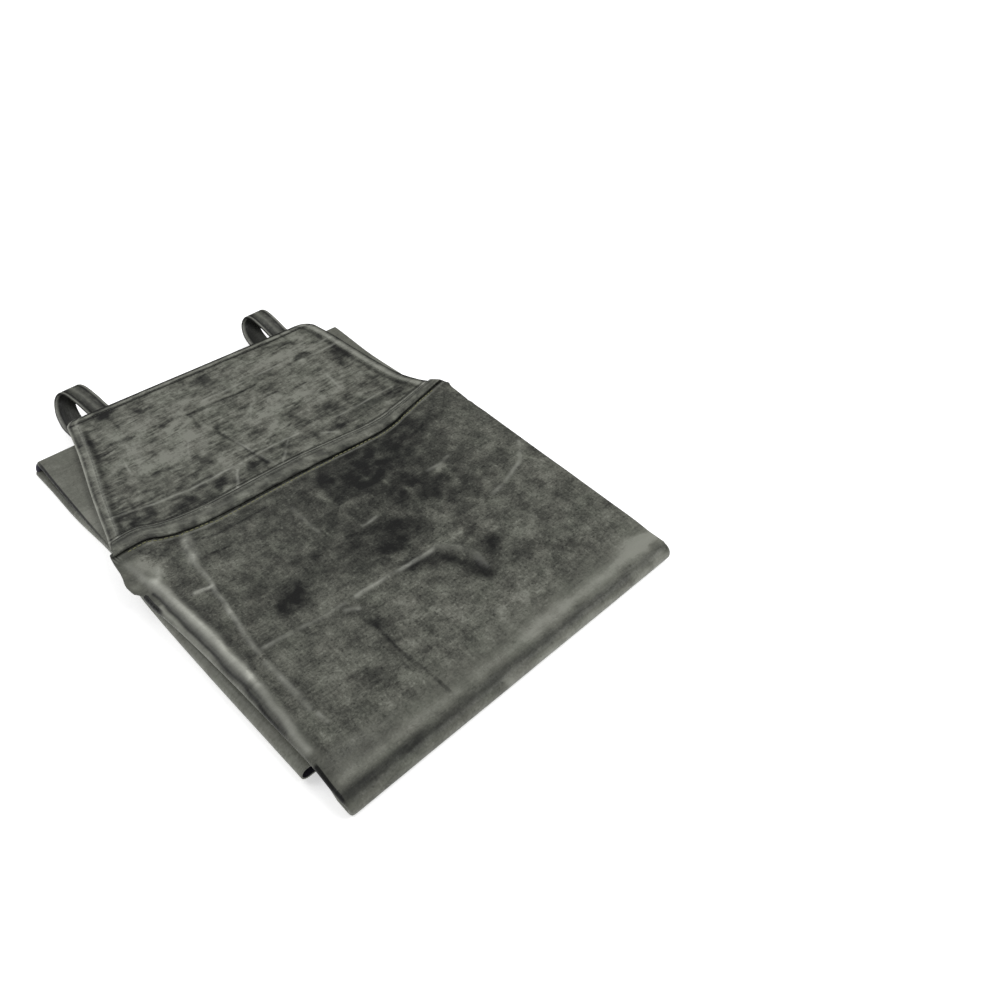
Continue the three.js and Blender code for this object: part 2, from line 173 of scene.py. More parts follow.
# %% Tables of the skirt: shares of the folded length and width
TOP_ROWS = [
    {"y": 0.018, "left": -0.525, "right": 0.541},
    {"y": -0.050, "left": -0.517, "right": 0.536},
    {"y": -0.140, "left": -0.511, "right": 0.530},
    {"y": -0.250, "left": -0.507, "right": 0.523},
    {"y": -0.350, "left": -0.505, "right": 0.516},
    {"y": -0.410, "left": -0.504, "right": 0.512},
    {"y": -0.450, "left": -0.504, "right": 0.508},
    {"y": -0.481, "left": -0.504, "right": 0.508},
]
MIDDLE_ROWS = [
    {"y": -0.462, "left": -0.501, "right": 0.502, "step": 0.12, "arch": 0},
    {"y": -0.440, "left": -0.499, "right": 0.502, "step": 0.6, "arch": 0},
    {"y": -0.414, "left": -0.496, "right": 0.502, "step": 1, "arch": 0},
    {"y": -0.250, "left": -0.495, "right": 0.502, "step": 1, "arch": 0},
    {"y": -0.050, "left": -0.498, "right": 0.502, "step": 1, "arch": 0},
    {"y": 0.120, "left": -0.500, "right": 0.501, "step": 1, "arch": 0},
    {"y": 0.270, "left": -0.496, "right": 0.494, "step": 1, "arch": 0.02},
    {"y": 0.360, "left": -0.492, "right": 0.490, "step": 1, "arch": 0.14},
    {"y": 0.420, "left": -0.490, "right": 0.490, "step": 1, "arch": 0.55},
    {"y": 0.460, "left": -0.488, "right": 0.490, "step": 1, "arch": 0.9},
]
BOTTOM_ROWS = [
    {"y": 0.420, "left": -0.500, "right": 0.490},
    {"y": 0.320, "left": -0.503, "right": 0.490},
    {"y": 0.200, "left": -0.497, "right": 0.495},
    {"y": 0.060, "left": -0.518, "right": 0.500},
    {"y": -0.060, "left": -0.523, "right": 0.501},
    {"y": -0.220, "left": -0.525, "right": 0.501},
    {"y": HEM_SETBACK / FOLDED_LENGTH - 0.5, "left": -0.525, "right": 0.501},
]
ROLL_ROWS = [
    {"y": -0.500, "bottom": 0, "middle": 0, "top": 0},
    {"y": -0.462, "bottom": 0.08, "middle": 0.2, "top": 0.35},
    {"y": -0.440, "bottom": 0.45, "middle": 0.5, "top": 0.6},
    {"y": -0.410, "bottom": 0.95, "middle": 0.9, "top": 0.8},
    {"y": -0.250, "bottom": 1, "middle": 1, "top": 1},
    {"y": -0.060, "bottom": 0.94, "middle": 1, "top": 1},
    {"y": 0.060, "bottom": 0.8, "middle": 1, "top": 0.8},
    {"y": 0.200, "bottom": 0.55, "middle": 0.9, "top": 0.5},
    {"y": 0.320, "bottom": 0.36, "middle": 0.8, "top": 0},
    {"y": 0.420, "bottom": 0.2, "middle": 0.5, "top": 0},
    {"y": 0.480, "bottom": 0, "middle": 0, "top": 0},
]
LEFT_FOLD_TOP = 0.047
LEFT_ARMHOLE = [(-0.5385, 0.067), (-0.5400, 0.088), (-0.5300, 0.118), (-0.5150, 0.150)]
RIGHT_ARMHOLE = [(0.5420, 0.157), (0.5500, 0.150), (0.5540, 0.142), (0.5480, 0.136)]
SEAM_ROWS = [
    {"across": -0.500, "rise": 22},
    {"across": -0.430, "rise": 23},
    {"across": -0.400, "rise": 22},
    {"across": -0.360, "rise": 15.5},
    {"across": -0.315, "rise": 11.5},
    {"across": -0.240, "rise": 8.8},
    {"across": -0.060, "rise": 6.5},
    {"across": 0.060, "rise": 4.5},
    {"across": 0.180, "rise": 1},
    {"across": 0.240, "rise": 0},
    {"across": 0.285, "rise": 1},
    {"across": 0.345, "rise": 6},
    {"across": 0.405, "rise": 11},
    {"across": 0.510, "rise": 19},
]

# %% Heights of the stack and the line of the waist seam
def bulge_at(x):
    """1 over the rolls at the left side of the stack, 0 where it lies flat."""
    return 1 - ease((x + FOLDED_WIDTH / 2 - ROLL_SHOULDER) / ROLL_FALLOFF)


def extra_at(y, layer):
    height = {"bottom": BOTTOM_ROLL, "middle": MIDDLE_ROLL, "top": TOP_ROLL}[layer]
    return (height - LAYER) * along(ROLL_ROWS, "y", layer, np.asarray(y) / FOLDED_LENGTH)


def stack_lift(y):
    return extra_at(y, "bottom") + extra_at(y, "middle") + extra_at(y, "top")


def seam_y(x):
    return SEAM_BASE + along(SEAM_ROWS, "across", "rise", np.asarray(x) / BIB_SPAN)


def band_width(x):
    return along(BAND_WIDTHS, "across", "width", np.asarray(x) / BIB_SPAN)


def top_z(y):
    """Height of the middle of the top sheet."""
    share = ease((np.asarray(y) / FOLDED_LENGTH + 0.49) / 0.1)
    return 2 * FOLD_RADIUS + (RESTING - 2 * FOLD_RADIUS) * share - SHEET / 2


def panel_z(x, y):
    return top_z(y) + stack_lift(y) * bulge_at(x)


# %% [markdown]
# ## Turning a grid of points into cloth
# Cloth is modelled as a grid on the middle of the sheet, moved half its thickness to either
# side along its own normal. A grid keeps the rows along the weave, gives each point its place
# on the flat cloth for the pattern, and can carry painted values such as wear.

# %% Sheet builder
def sheet_normals(grid):
    rows = np.arange(grid.shape[0])
    columns = np.arange(grid.shape[1])
    down = grid[np.minimum(rows + 1, rows[-1])] - grid[np.maximum(rows - 1, 0)]
    across = grid[:, np.minimum(columns + 1, columns[-1])] - grid[:, np.maximum(columns - 1, 0)]
    normal = np.cross(across, down)
    return normal / np.linalg.norm(normal, axis=2, keepdims=True)


def flat_places(grid):
    """Place of each grid point on the flat cloth, in millimetres from the panel's middle."""
    wide = np.linalg.norm(np.diff(grid, axis=1), axis=2)
    u = np.concatenate([np.zeros((grid.shape[0], 1)), np.cumsum(wide, axis=1)], axis=1)
    middle = grid.shape[1] // 2
    u -= u[:, middle:middle + 1]
    long = np.linalg.norm(np.diff(grid[:, middle], axis=0), axis=1)
    v = np.concatenate([[0], np.cumsum(long)])
    return np.stack([u, np.repeat(v[:, None], grid.shape[1], axis=1)], axis=2)


def kept_lines(count, tight=()):
    """Every third line, all lines of the tight folds, and the last one."""
    return np.array(sorted(set(range(0, count, 3)) | set(tight) | {count - 1}))


def boundary(index):
    return np.concatenate([index[0, :-1], index[:-1, -1], index[-1, :0:-1], index[:0:-1, 0]])


def cloth_sheet(
    name, grid, thickness, materials, coated_side, marks,
    flat=None, rows=(), columns=(), painted_back_shade=0.0,
):
    """A closed sheet. coated_side is 1 where the grid's normal points out of the coated face.

    The coated face has every point of the grid. The back, which hardly shows, has a third of
    the lines, except the rows and columns named, which lie in tight folds.
    """
    normal = sheet_normals(grid) * coated_side
    half = (np.zeros(grid.shape[:2]) + thickness)[..., None] / 2
    inside = np.ix_(kept_lines(grid.shape[0], rows), kept_lines(grid.shape[1], columns))
    back = (grid - normal * half)[inside]
    front_index = np.arange(grid[..., 0].size).reshape(grid.shape[:2])
    back_index = front_index.size + np.arange(back[..., 0].size).reshape(back.shape[:2])

    def quads(index):
        return np.stack([index[:-1, :-1], index[:-1, 1:], index[1:, 1:], index[1:, :-1]], axis=-1)

    front_faces = quads(front_index).reshape(-1, 4)[:, ::coated_side].tolist()
    back_faces = quads(back_index).reshape(-1, 4)[:, ::-coated_side].tolist()
    outer = boundary(front_index).tolist()
    kept = boundary(front_index[inside]).tolist()
    inner = boundary(back_index).tolist()
    place_of = {point: i for i, point in enumerate(outer)}
    rim_faces = []
    for i in range(len(kept)):
        start = place_of[kept[i]]
        stop = place_of[kept[(i + 1) % len(kept)]] or len(outer)
        run = [outer[k % len(outer)] for k in range(start, stop + 1)]
        rim_faces.append((run[::-1] + [inner[i], inner[(i + 1) % len(inner)]])[::coated_side])
    faces = front_faces + rim_faces + back_faces

    mesh = bpy.data.meshes.new(name)
    points = np.concatenate([(grid + normal * half).reshape(-1, 3), back.reshape(-1, 3)])
    mesh.from_pydata(to_frame(points).tolist(), [], faces)
    for material in materials:
        mesh.materials.append(material)
    kinds = np.zeros(len(faces), np.int32)
    kinds[len(front_faces) + len(rim_faces):] = len(materials) - 1
    mesh.polygons.foreach_set("material_index", kinds)
    places = flat_places(grid) if flat is None else flat
    places = np.concatenate([places.reshape(-1, 2), places[inside].reshape(-1, 2)]) * MM
    corners = np.zeros(len(mesh.loops), np.int32)
    mesh.loops.foreach_get("vertex_index", corners)
    mesh.uv_layers.new(name="flat_cloth").data.foreach_set("uv", places[corners].ravel())
    for mark, values in {"mottle": np.ones(grid.shape[:2]), **marks}.items():
        values = np.asarray(values, np.float32)
        # The back face can be made darker than the front: painted shade, used on the inner face of the
        # strap loops
        back_values = values[inside] + (painted_back_shade if mark == "soil_and_shading" else 0)
        layer = mesh.attributes.new(mark, "FLOAT", "POINT")
        layer.data.foreach_set("value", np.concatenate([values.ravel(), back_values.ravel()]))
    mesh.polygons.foreach_set("use_smooth", np.ones(len(faces), bool))
    mesh.set_sharp_from_angle(angle=math.radians(50))
    piece = bpy.data.objects.new(name, mesh)
    bpy.context.scene.collection.objects.link(piece)
    print(name, sum(len(face) - 2 for face in faces), "triangles")
    return piece


# %% [markdown]
# ## Wear, soil, creases and painted light as strokes and spots
# Every crease, rub and stain of the cloth is one row, in plan millimetres, and so is every painted
# highlight and painted shade. A stroke has its width and a few points. A spot is a soft ellipse: x, y, half
# its width, half its height, its soil (at a few spots painted shade and painted highlight instead) and, for
# some, its turn in degrees. The same rows raise the cloth and lighten or darken it, so a pale rubbed line
# always lies on its own ridge.

# %% Painting helpers
def distance_to_path(x, y, path):
    best = np.full(np.shape(x), 1e9)
    for (x0, y0), (x1, y1) in zip(path[:-1], path[1:]):
        length = (x1 - x0) ** 2 + (y1 - y0) ** 2
        t = np.clip(((x - x0) * (x1 - x0) + (y - y0) * (y1 - y0)) / length, 0, 1)
        best = np.minimum(best, np.hypot(x - x0 - t * (x1 - x0), y - y0 - t * (y1 - y0)))
    return best


def waviness(x, y, size, seed):
    """Soft hills between 0 and 1, about one to every size millimetres."""
    flat = [noise.noise(Vector((a / size, b / size, seed))) for a, b in zip(x.ravel(), y.ravel())]
    return 0.5 + 0.5 * np.array(flat).reshape(x.shape)


def stroke(width, path, lift=0, soil_and_shading=0, rub_and_sheen=0, uneven=0.7):
    """A mark along a path. uneven says how much it thins and thickens on its way."""
    return {"width": width, "path": path, "lift": lift, "soil_and_shading": soil_and_shading, "rub_and_sheen": rub_and_sheen, "uneven": uneven}


def paint(x, y, strokes, spots, seed):
    """Lift in millimetres, soil and rub of the cloth at the plan places x, y. Soil and rub also carry
    painted shade and painted highlights.

    Soft hills shift the places a little and thin the marks here and there, so that no line is
    straight or even and no spot is round.
    """
    def shifts(reach, size, offset):
        """Shifts of up to half the reach to either side, in hills of this size."""
        return reach * (waviness(x, y, size, seed + offset) - 0.5)

    broad_x, broad_y = shifts(14.0, 16.0, 0.0), shifts(14.0, 16.0, 40.0)
    fine_x, fine_y = shifts(9.0, 5.0, 160.0), shifts(7.0, 3.6, 200.0)
    broken = np.clip(1.0 + shifts(3.0, 9.0, 80.0), 0.2, 1.5) - 1.0
    mottled = np.clip(1.05 + shifts(2.0, 7.5, 120.0), 0.4, 1.5)
    values = {mark: np.zeros(np.shape(x)) for mark in ("lift", "soil_and_shading", "rub_and_sheen")}
    for row in strokes:
        # Strokes keep nearer to their place than spots do
        way = distance_to_path(x + 0.2 * broad_x, y + 0.2 * broad_y, row["path"])
        shape = np.exp(-((way / row["width"]) ** 2))
        values["lift"] += row["lift"] * shape
        for mark in ("soil_and_shading", "rub_and_sheen"):
            values[mark] += row[mark] * shape * (1.0 + broken * row["uneven"])
    for middle_x, middle_y, half_width, half_height, soil_and_shading, *turned in spots:
        turn = math.radians(turned[0] if turned else 0)
        dx, dy = x + broad_x + fine_x - middle_x, y + broad_y + fine_y - middle_y
        u = (dx * math.cos(turn) + dy * math.sin(turn)) / half_width
        v = (dy * math.cos(turn) - dx * math.sin(turn)) / half_height
        values["soil_and_shading"] += soil_and_shading * np.exp(-(u * u + v * v)) * mottled
    return values


def ridge(distance, place, width):
    return np.exp(-(((distance - place) / width) ** 2))


# %% [markdown]
# ## Materials
# The cloth is cotton with a calendered PVC coat: a satin plastic skin, matte where it is
# rubbed, with soil lying in its creases. Colours are sRGB hex values, turned to linear light.

# %% Material helpers
def linear(hex_colour):
    """An sRGB hex colour as linear red, green, blue and alpha."""
    parts = [int(hex_colour[i:i + 2], 16) / 255 for i in (1, 3, 5)]
    return [p / 12.92 if p <= 0.04045 else ((p + 0.055) / 1.055) ** 2.4 for p in parts] + [1.0]


def add_node(tree, kind, inputs=None, **settings):
    """Adds one shader node, sets its properties, and sets or links its inputs."""
    made = tree.nodes.new("ShaderNode" + kind)
    for key, value in settings.items():
        setattr(made, key, value)
    for key, value in (inputs or {}).items():
        if isinstance(value, bpy.types.NodeSocket):
            tree.links.new(value, made.inputs[key])
        else:
            made.inputs[key].default_value = value
    return made


def new_material(name):
    material = bpy.data.materials.new(name)
    material.use_nodes = True
    tree = material.node_tree
    return material, tree, tree.nodes["Principled BSDF"]


def noise_on_cloth(tree, size_mm, stretch=1.0, detail=3.0, rough=0.55):
    """Noise on the flat cloth, with features about size_mm wide and stretch times longer."""
    uv = add_node(tree, "UVMap", uv_map="flat_cloth")
    scale = 1000.0 / size_mm
    stretched = {0: uv.outputs[0], 1: (scale / stretch, scale, 1)}
    place = add_node(tree, "VectorMath", stretched, operation="MULTIPLY")
    made = add_node(
        tree, "TexNoise", {"Vector": place.outputs[0], "Scale": 1.0, "Detail": detail, "Roughness": rough}
    )
    return made.outputs["Fac"]


def weighted(tree, start, *terms):
    """start plus, for each (socket, weight) pair, weight times the socket's distance from 0.5."""
    total = start
    for socket, weight in terms:
        shifted = add_node(tree, "Math", {0: socket, 1: 0.5}, operation="SUBTRACT")
        total = add_node(
            tree, "Math", {0: shifted.outputs[0], 1: weight, 2: total}, operation="MULTIPLY_ADD"
        ).outputs[0]
    return total


# %% Coated cloth
# One ramp runs from clean to soiled. Soil values are painted on the cloth, dirt and in places painted shade
# and painted highlights, and noises of real
# sizes break them up where mottle is 1: broad patches, streaks along the weave, ribs and grain.
SOIL_AND_SHADING_RAMP = [(0.0, "#85867e"), (0.25, "#686961"), (0.5, "#484943"), (0.75, "#2c2d29"), (1.0, "#121311")]
RUB_AND_SHEEN_COLOUR = "#b0b1a8"
GREENISH = "#5d6757"
BROWNISH = "#5f5954"


def spread(tree, value, low, high, top=1.0):
    """0 below low, top above high."""
    return add_node(
        tree, "MapRange", {"Value": value, "From Min": low, "From Max": high, "To Max": top}
    ).outputs[0]


def coated_cloth(name, patch_mm, stretch, patchy, ribbed, speckle):
    """PVC-coated cloth. patch_mm is the size of its soiled patches, stretch how long they are."""
    material, tree, shader = new_material(name)
    broad = noise_on_cloth(tree, 48.0, 1.2, 3.0)
    patches = noise_on_cloth(tree, patch_mm, stretch, 4.0, 0.6)
    blots = spread(tree, noise_on_cloth(tree, patch_mm * 0.8, 0.8, 3.0, 0.5), 0.42, 0.62)
    streaks = noise_on_cloth(tree, 4.0, 3.0, 3.0, 0.6)
    upright = noise_on_cloth(tree, 9.0, 0.25, 3.0, 0.6)
    ribs = noise_on_cloth(tree, 2.4, 5.0, 1.5, 0.5)
    grain = noise_on_cloth(tree, 1.9, 1.1, 2.5, 0.8)
    specks = spread(tree, noise_on_cloth(tree, 3.0, 1.1, 1.0, 0.5), 0.62, 0.68)
    flecks = spread(tree, noise_on_cloth(tree, 3.4, 1.0, 1.2, 0.5), 0.38, 0.32)
    soil_and_shading = add_node(tree, "Attribute", attribute_name="soil_and_shading").outputs["Fac"]
    mottle = add_node(tree, "Attribute", attribute_name="mottle").outputs["Fac"]
    broken = weighted(
        tree, 0.0, (broad, 0.3), (patches, patchy), (blots, patchy * 0.16), (streaks, 0.2 + 0.45 * ribbed),
        (upright, 0.35), (grain, speckle), (specks, speckle * 0.2), (flecks, speckle * -0.16),
    )
    soil_and_shading_level = add_node(tree, "Math", {0: broken, 1: mottle, 2: soil_and_shading}, operation="MULTIPLY_ADD").outputs[0]
    where = spread(tree, patches, 0.46, 0.66, ribbed)
    ribs_off = add_node(tree, "Math", {0: ribs, 1: 0.47}, operation="SUBTRACT").outputs[0]
    soil_and_shading_level = add_node(tree, "Math", {0: ribs_off, 1: where, 2: soil_and_shading_level}, operation="MULTIPLY_ADD").outputs[0]
    colours = add_node(tree, "ValToRGB", {"Fac": soil_and_shading_level})
    points = colours.color_ramp.elements
    while len(points) < len(SOIL_AND_SHADING_RAMP):
        points.new(0.5)
    for point, (place, colour) in zip(points, SOIL_AND_SHADING_RAMP):
        point.position = place
        point.color = linear(colour)
    # Old cloth drifts a little to green in some places and to brown in others
    hue = noise_on_cloth(tree, 26.0, 1.0, 3.0, 0.6)
    tint = add_node(tree, "ValToRGB", {"Fac": hue})
    tint.color_ramp.elements[0].position = 0.36
    tint.color_ramp.elements[0].color = linear(BROWNISH)
    tint.color_ramp.elements[1].position = 0.66
    tint.color_ramp.elements[1].color = linear(GREENISH)
    grey = tint.color_ramp.elements.new(0.5)
    grey.color = linear("#606159")
    tinted = add_node(
        tree, "Mix", {"Factor": 0.3}, data_type="RGBA", blend_type="SOFT_LIGHT"
    )
    tree.links.new(colours.outputs["Color"], tinted.inputs["A"])
    tree.links.new(tint.outputs["Color"], tinted.inputs["B"])
    # The rub value pulls the colour towards pale grey: wear, and painted highlights on the left roll's
    # ridges and the near fold
    rub_and_sheen = add_node(tree, "Attribute", attribute_name="rub_and_sheen").outputs["Fac"]
    wear_and_sheen = weighted(tree, 0.0, (streaks, 1.6), (grain, 2.0))
    wear_and_sheen = add_node(tree, "Math", {0: wear_and_sheen, 1: mottle, 2: 1.0}, operation="MULTIPLY_ADD").outputs[0]
    wear_and_sheen = add_node(tree, "Math", {0: wear_and_sheen, 1: rub_and_sheen}, operation="MULTIPLY", use_clamp=True).outputs[0]
    mixed = add_node(tree, "Mix", {"Factor": wear_and_sheen}, data_type="RGBA")
    tree.links.new(tinted.outputs["Result"], mixed.inputs["A"])
    mixed.inputs["B"].default_value = linear(RUB_AND_SHEEN_COLOUR)
    tree.links.new(mixed.outputs["Result"], shader.inputs["Base Color"])
    rough = weighted(tree, 0.46, (patches, 0.25), (grain, 0.2))
    tree.links.new(rough, shader.inputs["Roughness"])
    shader.inputs["IOR"].default_value = 1.5
    shader.inputs["Specular IOR Level"].default_value = 0.22
    fine = add_node(tree, "Bump", {"Strength": 0.5, "Distance": 0.0005, "Height": grain})
    bump = add_node(
        tree, "Bump", {"Strength": 0.6, "Distance": 0.0012, "Height": streaks, "Normal": fine.outputs[0]}
    )
    tree.links.new(bump.outputs[0], shader.inputs["Normal"])
    return material


skirt_cloth = coated_cloth("pvc_coated_cloth_worn", 18.0, 1.1, 0.85, 0.4, 0.8)
bib_cloth = coated_cloth("pvc_coated_cloth_brushed", 13.0, 1.5, 0.88, 1.4, 0.5)
band_cloth = coated_cloth("pvc_coated_seam_band", 12.0, 1.8, 0.8, 1.0, 0.5)
strap_cloth = coated_cloth("pvc_coated_strap", 7.0, 2.5, 0.9, 1.0, 0.5)

# %% Woven backing
# The uncoated side is plain cotton weave dyed a dark violet grey. Real threads are 0.5 mm
# apart, too fine to show, so the weave is drawn at 1.6 mm.
def cotton_backing():
    material, tree, shader = new_material("woven_cotton_backing")
    weave = noise_on_cloth(tree, 1.6, 1.0, 2.0, 0.5)
    colour = add_node(tree, "ValToRGB", {"Fac": weave})
    colour.color_ramp.elements[0].color = linear("#2c2b33")
    colour.color_ramp.elements[1].color = linear("#55545f")
    tree.links.new(colour.outputs["Color"], shader.inputs["Base Color"])
    shader.inputs["Roughness"].default_value = 0.9
    shader.inputs["Specular IOR Level"].default_value = 0.2
    bump = add_node(tree, "Bump", {"Strength": 0.4, "Distance": 0.0003, "Height": weave})
    tree.links.new(bump.outputs[0], shader.inputs["Normal"])
    return material


backing = cotton_backing()

# %% Sewing thread
# Bonded polyester thread, slightly shiny: olive under the waist band, grey and dark elsewhere.
def sewing_thread(name, colour):
    material, tree, shader = new_material(name)
    twist = add_node(tree, "TexNoise", {"Scale": 900.0, "Detail": 2.0})
    tone = add_node(tree, "ValToRGB", {"Fac": twist.outputs["Fac"]})
    tone.color_ramp.elements[0].color = linear("#2c2d25")
    tone.color_ramp.elements[1].color = linear(colour)
    tree.links.new(tone.outputs["Color"], shader.inputs["Base Color"])
    shader.inputs["Roughness"].default_value = 0.5
    return material


olive_thread = sewing_thread("olive_polyester_thread", "#9a9a6c")
grey_thread = sewing_thread("grey_polyester_thread", "#7c7e75")
dark_thread = sewing_thread("dark_polyester_thread", "#33342e")

# %% [markdown]
# ## The skirt
# The skirt is one sheet. Both sides are turned under, and the whole is folded in three, so a
# line across it goes from the left flap round the left roll, over the panel and round the
# right fold to the right flap. Each layer and each fold is a stack of such lines.

# %% Lines across the skirt
FLAP_COLUMNS = 8
ROLL_STEPS = 10
ROLL_PARTS = 8
FLAT_PARTS = 11
ROLL_FINE = 8
FLAT_FINE = 16
CREASE_STEPS = 8
PANEL_COLUMNS = ROLL_PARTS * ROLL_FINE + FLAT_PARTS * FLAT_FINE


def shares(count):
    """Even shares of a stretch, from its first step to its end."""
    return np.arange(1, count + 1) / count


def across_skirt(left, right, roll_extra):
    """Places along one line across: x and the depth under the panel's middle."""
    roll_radius = (LAYER + roll_extra - SHEET) / 2
    crease_radius = (LAYER - SHEET) / 2
    left_x, right_x = left + SHEET / 2, right - SHEET / 2
    flap_end = left + SIDE_FLAP
    flap_depth = LAYER - SHEET
    tucked_depth = SHEET + SHEET_GAP
    step_end = flap_end + 2 * SHEET
    x1 = flap_end + (left_x + roll_radius - flap_end) * np.sqrt(np.linspace(0, 1, FLAP_COLUMNS))
    d1 = flap_depth + roll_extra * bulge_at(x1)
    turn = np.pi * (0.5 - np.arange(1, ROLL_STEPS + 1) / ROLL_STEPS)
    x2 = left_x + roll_radius * (1 - np.cos(turn))
    d2 = roll_radius * (1 + np.sin(turn))
    start = left_x + roll_radius
    flat_start = ROLL_SHOULDER + ROLL_FALLOFF - FOLDED_WIDTH / 2
    x3 = start + (flat_start - start) * shares(ROLL_PARTS * ROLL_FINE)
    end = right_x - crease_radius
    x4 = flat_start + (end - flat_start) * shares(FLAT_PARTS * FLAT_FINE)
    turn = np.pi * (np.arange(1, CREASE_STEPS + 1) / CREASE_STEPS - 0.5)
    x5 = right_x - crease_radius * (1 - np.cos(turn))
    d5 = crease_radius * (1 + np.sin(turn))
    x6 = np.concatenate([step_end + FLAP_STEP * np.linspace(1, 0, 5), [0, right - SIDE_FLAP]])
    d6 = tucked_depth + (flap_depth - tucked_depth) * ease((x6 - step_end) / FLAP_STEP)
    flat = np.zeros(len(x3) + len(x4))
    return np.concatenate([x1, x2, x3, x4, x5, x6]), np.concatenate([d1, d2, flat, d5, d6])


def skirt_line(y, z, turn, left, right, roll_extra, lift, skew):
    x, depth = across_skirt(left, right, roll_extra)
    return np.stack([
        x,
        y + depth * math.sin(turn) + skew * (0.5 - x / FOLDED_WIDTH),
        z - depth * math.cos(turn) + lift * bulge_at(x),
    ], axis=1)


def edge_shares(rows, y):
    share = y / FOLDED_LENGTH
    return [float(along(rows, "y", side, share)) * FOLDED_WIDTH for side in ("left", "right")]


# %% Top edge of the skirt, with the cut edges beside the waist seam
def skirt_top_edge(first_line):
    line = first_line.copy()
    fold_end = FLAP_COLUMNS + ROLL_STEPS - 1
    fold_start = fold_end + PANEL_COLUMNS
    line[:fold_end + 1, 1] = LEFT_FOLD_TOP * FOLDED_LENGTH
    line[fold_start:, 1] = RIGHT_ARMHOLE[-1][1] * FOLDED_LENGTH
    left = [(x * FOLDED_WIDTH + SHEET / 2, y * FOLDED_LENGTH) for x, y in LEFT_ARMHOLE]
    right = [(x * FOLDED_WIDTH - SHEET / 2, y * FOLDED_LENGTH) for x, y in RIGHT_ARMHOLE]
    parts = ROLL_PARTS + FLAT_PARTS
    seam_x = np.linspace(left[-1][0], right[0][0], parts - 6)
    seam = [(x, float(seam_y(x) + band_width(x) / 2) - SEAM_JOINT / 2) for x in seam_x]
    corners = [tuple(line[fold_end, :2])] + left[:-1] + seam + right[1:]
    table = [{"at": i, "x": x, "y": y} for i, (x, y) in enumerate(corners)]
    at = np.concatenate([
        np.arange(1, ROLL_PARTS * ROLL_FINE + 1) / ROLL_FINE,
        ROLL_PARTS + np.arange(1, FLAT_PARTS * FLAT_FINE + 1) / FLAT_FINE,
    ])
    panel = slice(fold_end + 1, fold_start + 1)
    line[panel, 0] = along(table, "at", "x", at)
    line[panel, 1] = along(table, "at", "y", at)
    line[panel, 2] = panel_z(line[panel, 0], line[panel, 1])
    line[fold_start, 2] = first_line[fold_start, 2]
    return line


# %% The layers and folds of the skirt
TOP_STEP = 1.25
EDGE_LINES = 30


def top_layer():
    lines = []
    ys = np.arange(TOP_ROWS[0]["y"] * FOLDED_LENGTH, TOP_ROWS[-1]["y"] * FOLDED_LENGTH, -TOP_STEP)
    for y in ys:
        left, right = edge_shares(TOP_ROWS, y)
        lines.append(skirt_line(
            y, float(top_z(y)), 0, left, right, float(extra_at(y, "top")), float(stack_lift(y)), 0
        ))
    edge = skirt_top_edge(lines[0])
    blend = [edge + (lines[0] - edge) * share for share in np.linspace(0, 1, EDGE_LINES)[:-1]]
    return blend + lines


def package_fold(y, z, radius, bulge, first_turn, start, end, skew, count):
    lines = []
    for t in np.linspace(0, 1, count):
        left = (start["left"] + (end["left"] - start["left"]) * t) * FOLDED_WIDTH
        right = (start["right"] + (end["right"] - start["right"]) * t) * FOLDED_WIDTH
        lines.append(skirt_line(
            y + bulge * radius * math.sin(math.pi * t), z + radius * math.cos(math.pi * t),
            first_turn + math.pi * t, left, right, 0, 0, skew,
        ))
    return lines


MIDDLE_LINES = 34


def middle_layer():
    arch_rise = FOLD_RADIUS + FOLD_BORE / 2 - MIDDLE_LEVEL
    lines = []
    for y in np.linspace(MIDDLE_ROWS[0]["y"], MIDDLE_ROWS[-1]["y"], MIDDLE_LINES) * FOLDED_LENGTH:
        share = y / FOLDED_LENGTH
        left, right = edge_shares(MIDDLE_ROWS, y)
        level = MIDDLE_LEVEL * along(MIDDLE_ROWS, "y", "step", share)
        level += arch_rise * along(MIDDLE_ROWS, "y", "arch", share)
        skew = -NEAR_SKEW + (REAR_SKEW + NEAR_SKEW) * float(ease(share + 0.5))
        lines.append(skirt_line(
            y, float(level) + SHEET / 2, math.pi, left, right,
            float(extra_at(y, "middle")), float(extra_at(y, "bottom")), skew,
        ))
    return lines


def bottom_layer():
    lines = []
    for y in np.linspace(BOTTOM_ROWS[0]["y"], BOTTOM_ROWS[-1]["y"], 30) * FOLDED_LENGTH:
        left, right = edge_shares(BOTTOM_ROWS, y)
        extra = float(extra_at(y, "bottom"))
        skew = REAR_SKEW * float(ease(y / FOLDED_LENGTH + 0.5))
        lines.append(skirt_line(y, LAYER - SHEET / 2, 0, left, right, extra, extra, skew))
    return lines


NEAR_FOLD_LINES = 20
top_lines = top_layer()
near_fold = package_fold(
    FOLD_RADIUS - FOLDED_LENGTH / 2, FOLD_RADIUS, FOLD_RADIUS - SHEET / 2, -1, 0,
    TOP_ROWS[-1], MIDDLE_ROWS[0], -NEAR_SKEW, NEAR_FOLD_LINES,
)
rear_fold = package_fold(
    FOLDED_LENGTH / 2 - FOLD_RADIUS, FOLD_RADIUS, FOLD_BORE / 2 + SHEET / 2, 1, math.pi,
    MIDDLE_ROWS[-1], BOTTOM_ROWS[0], REAR_SKEW, 14,
)
skirt_grid = np.array(top_lines + near_fold + middle_layer() + rear_fold + bottom_layer())
print("skirt grid", skirt_grid.shape[:2])

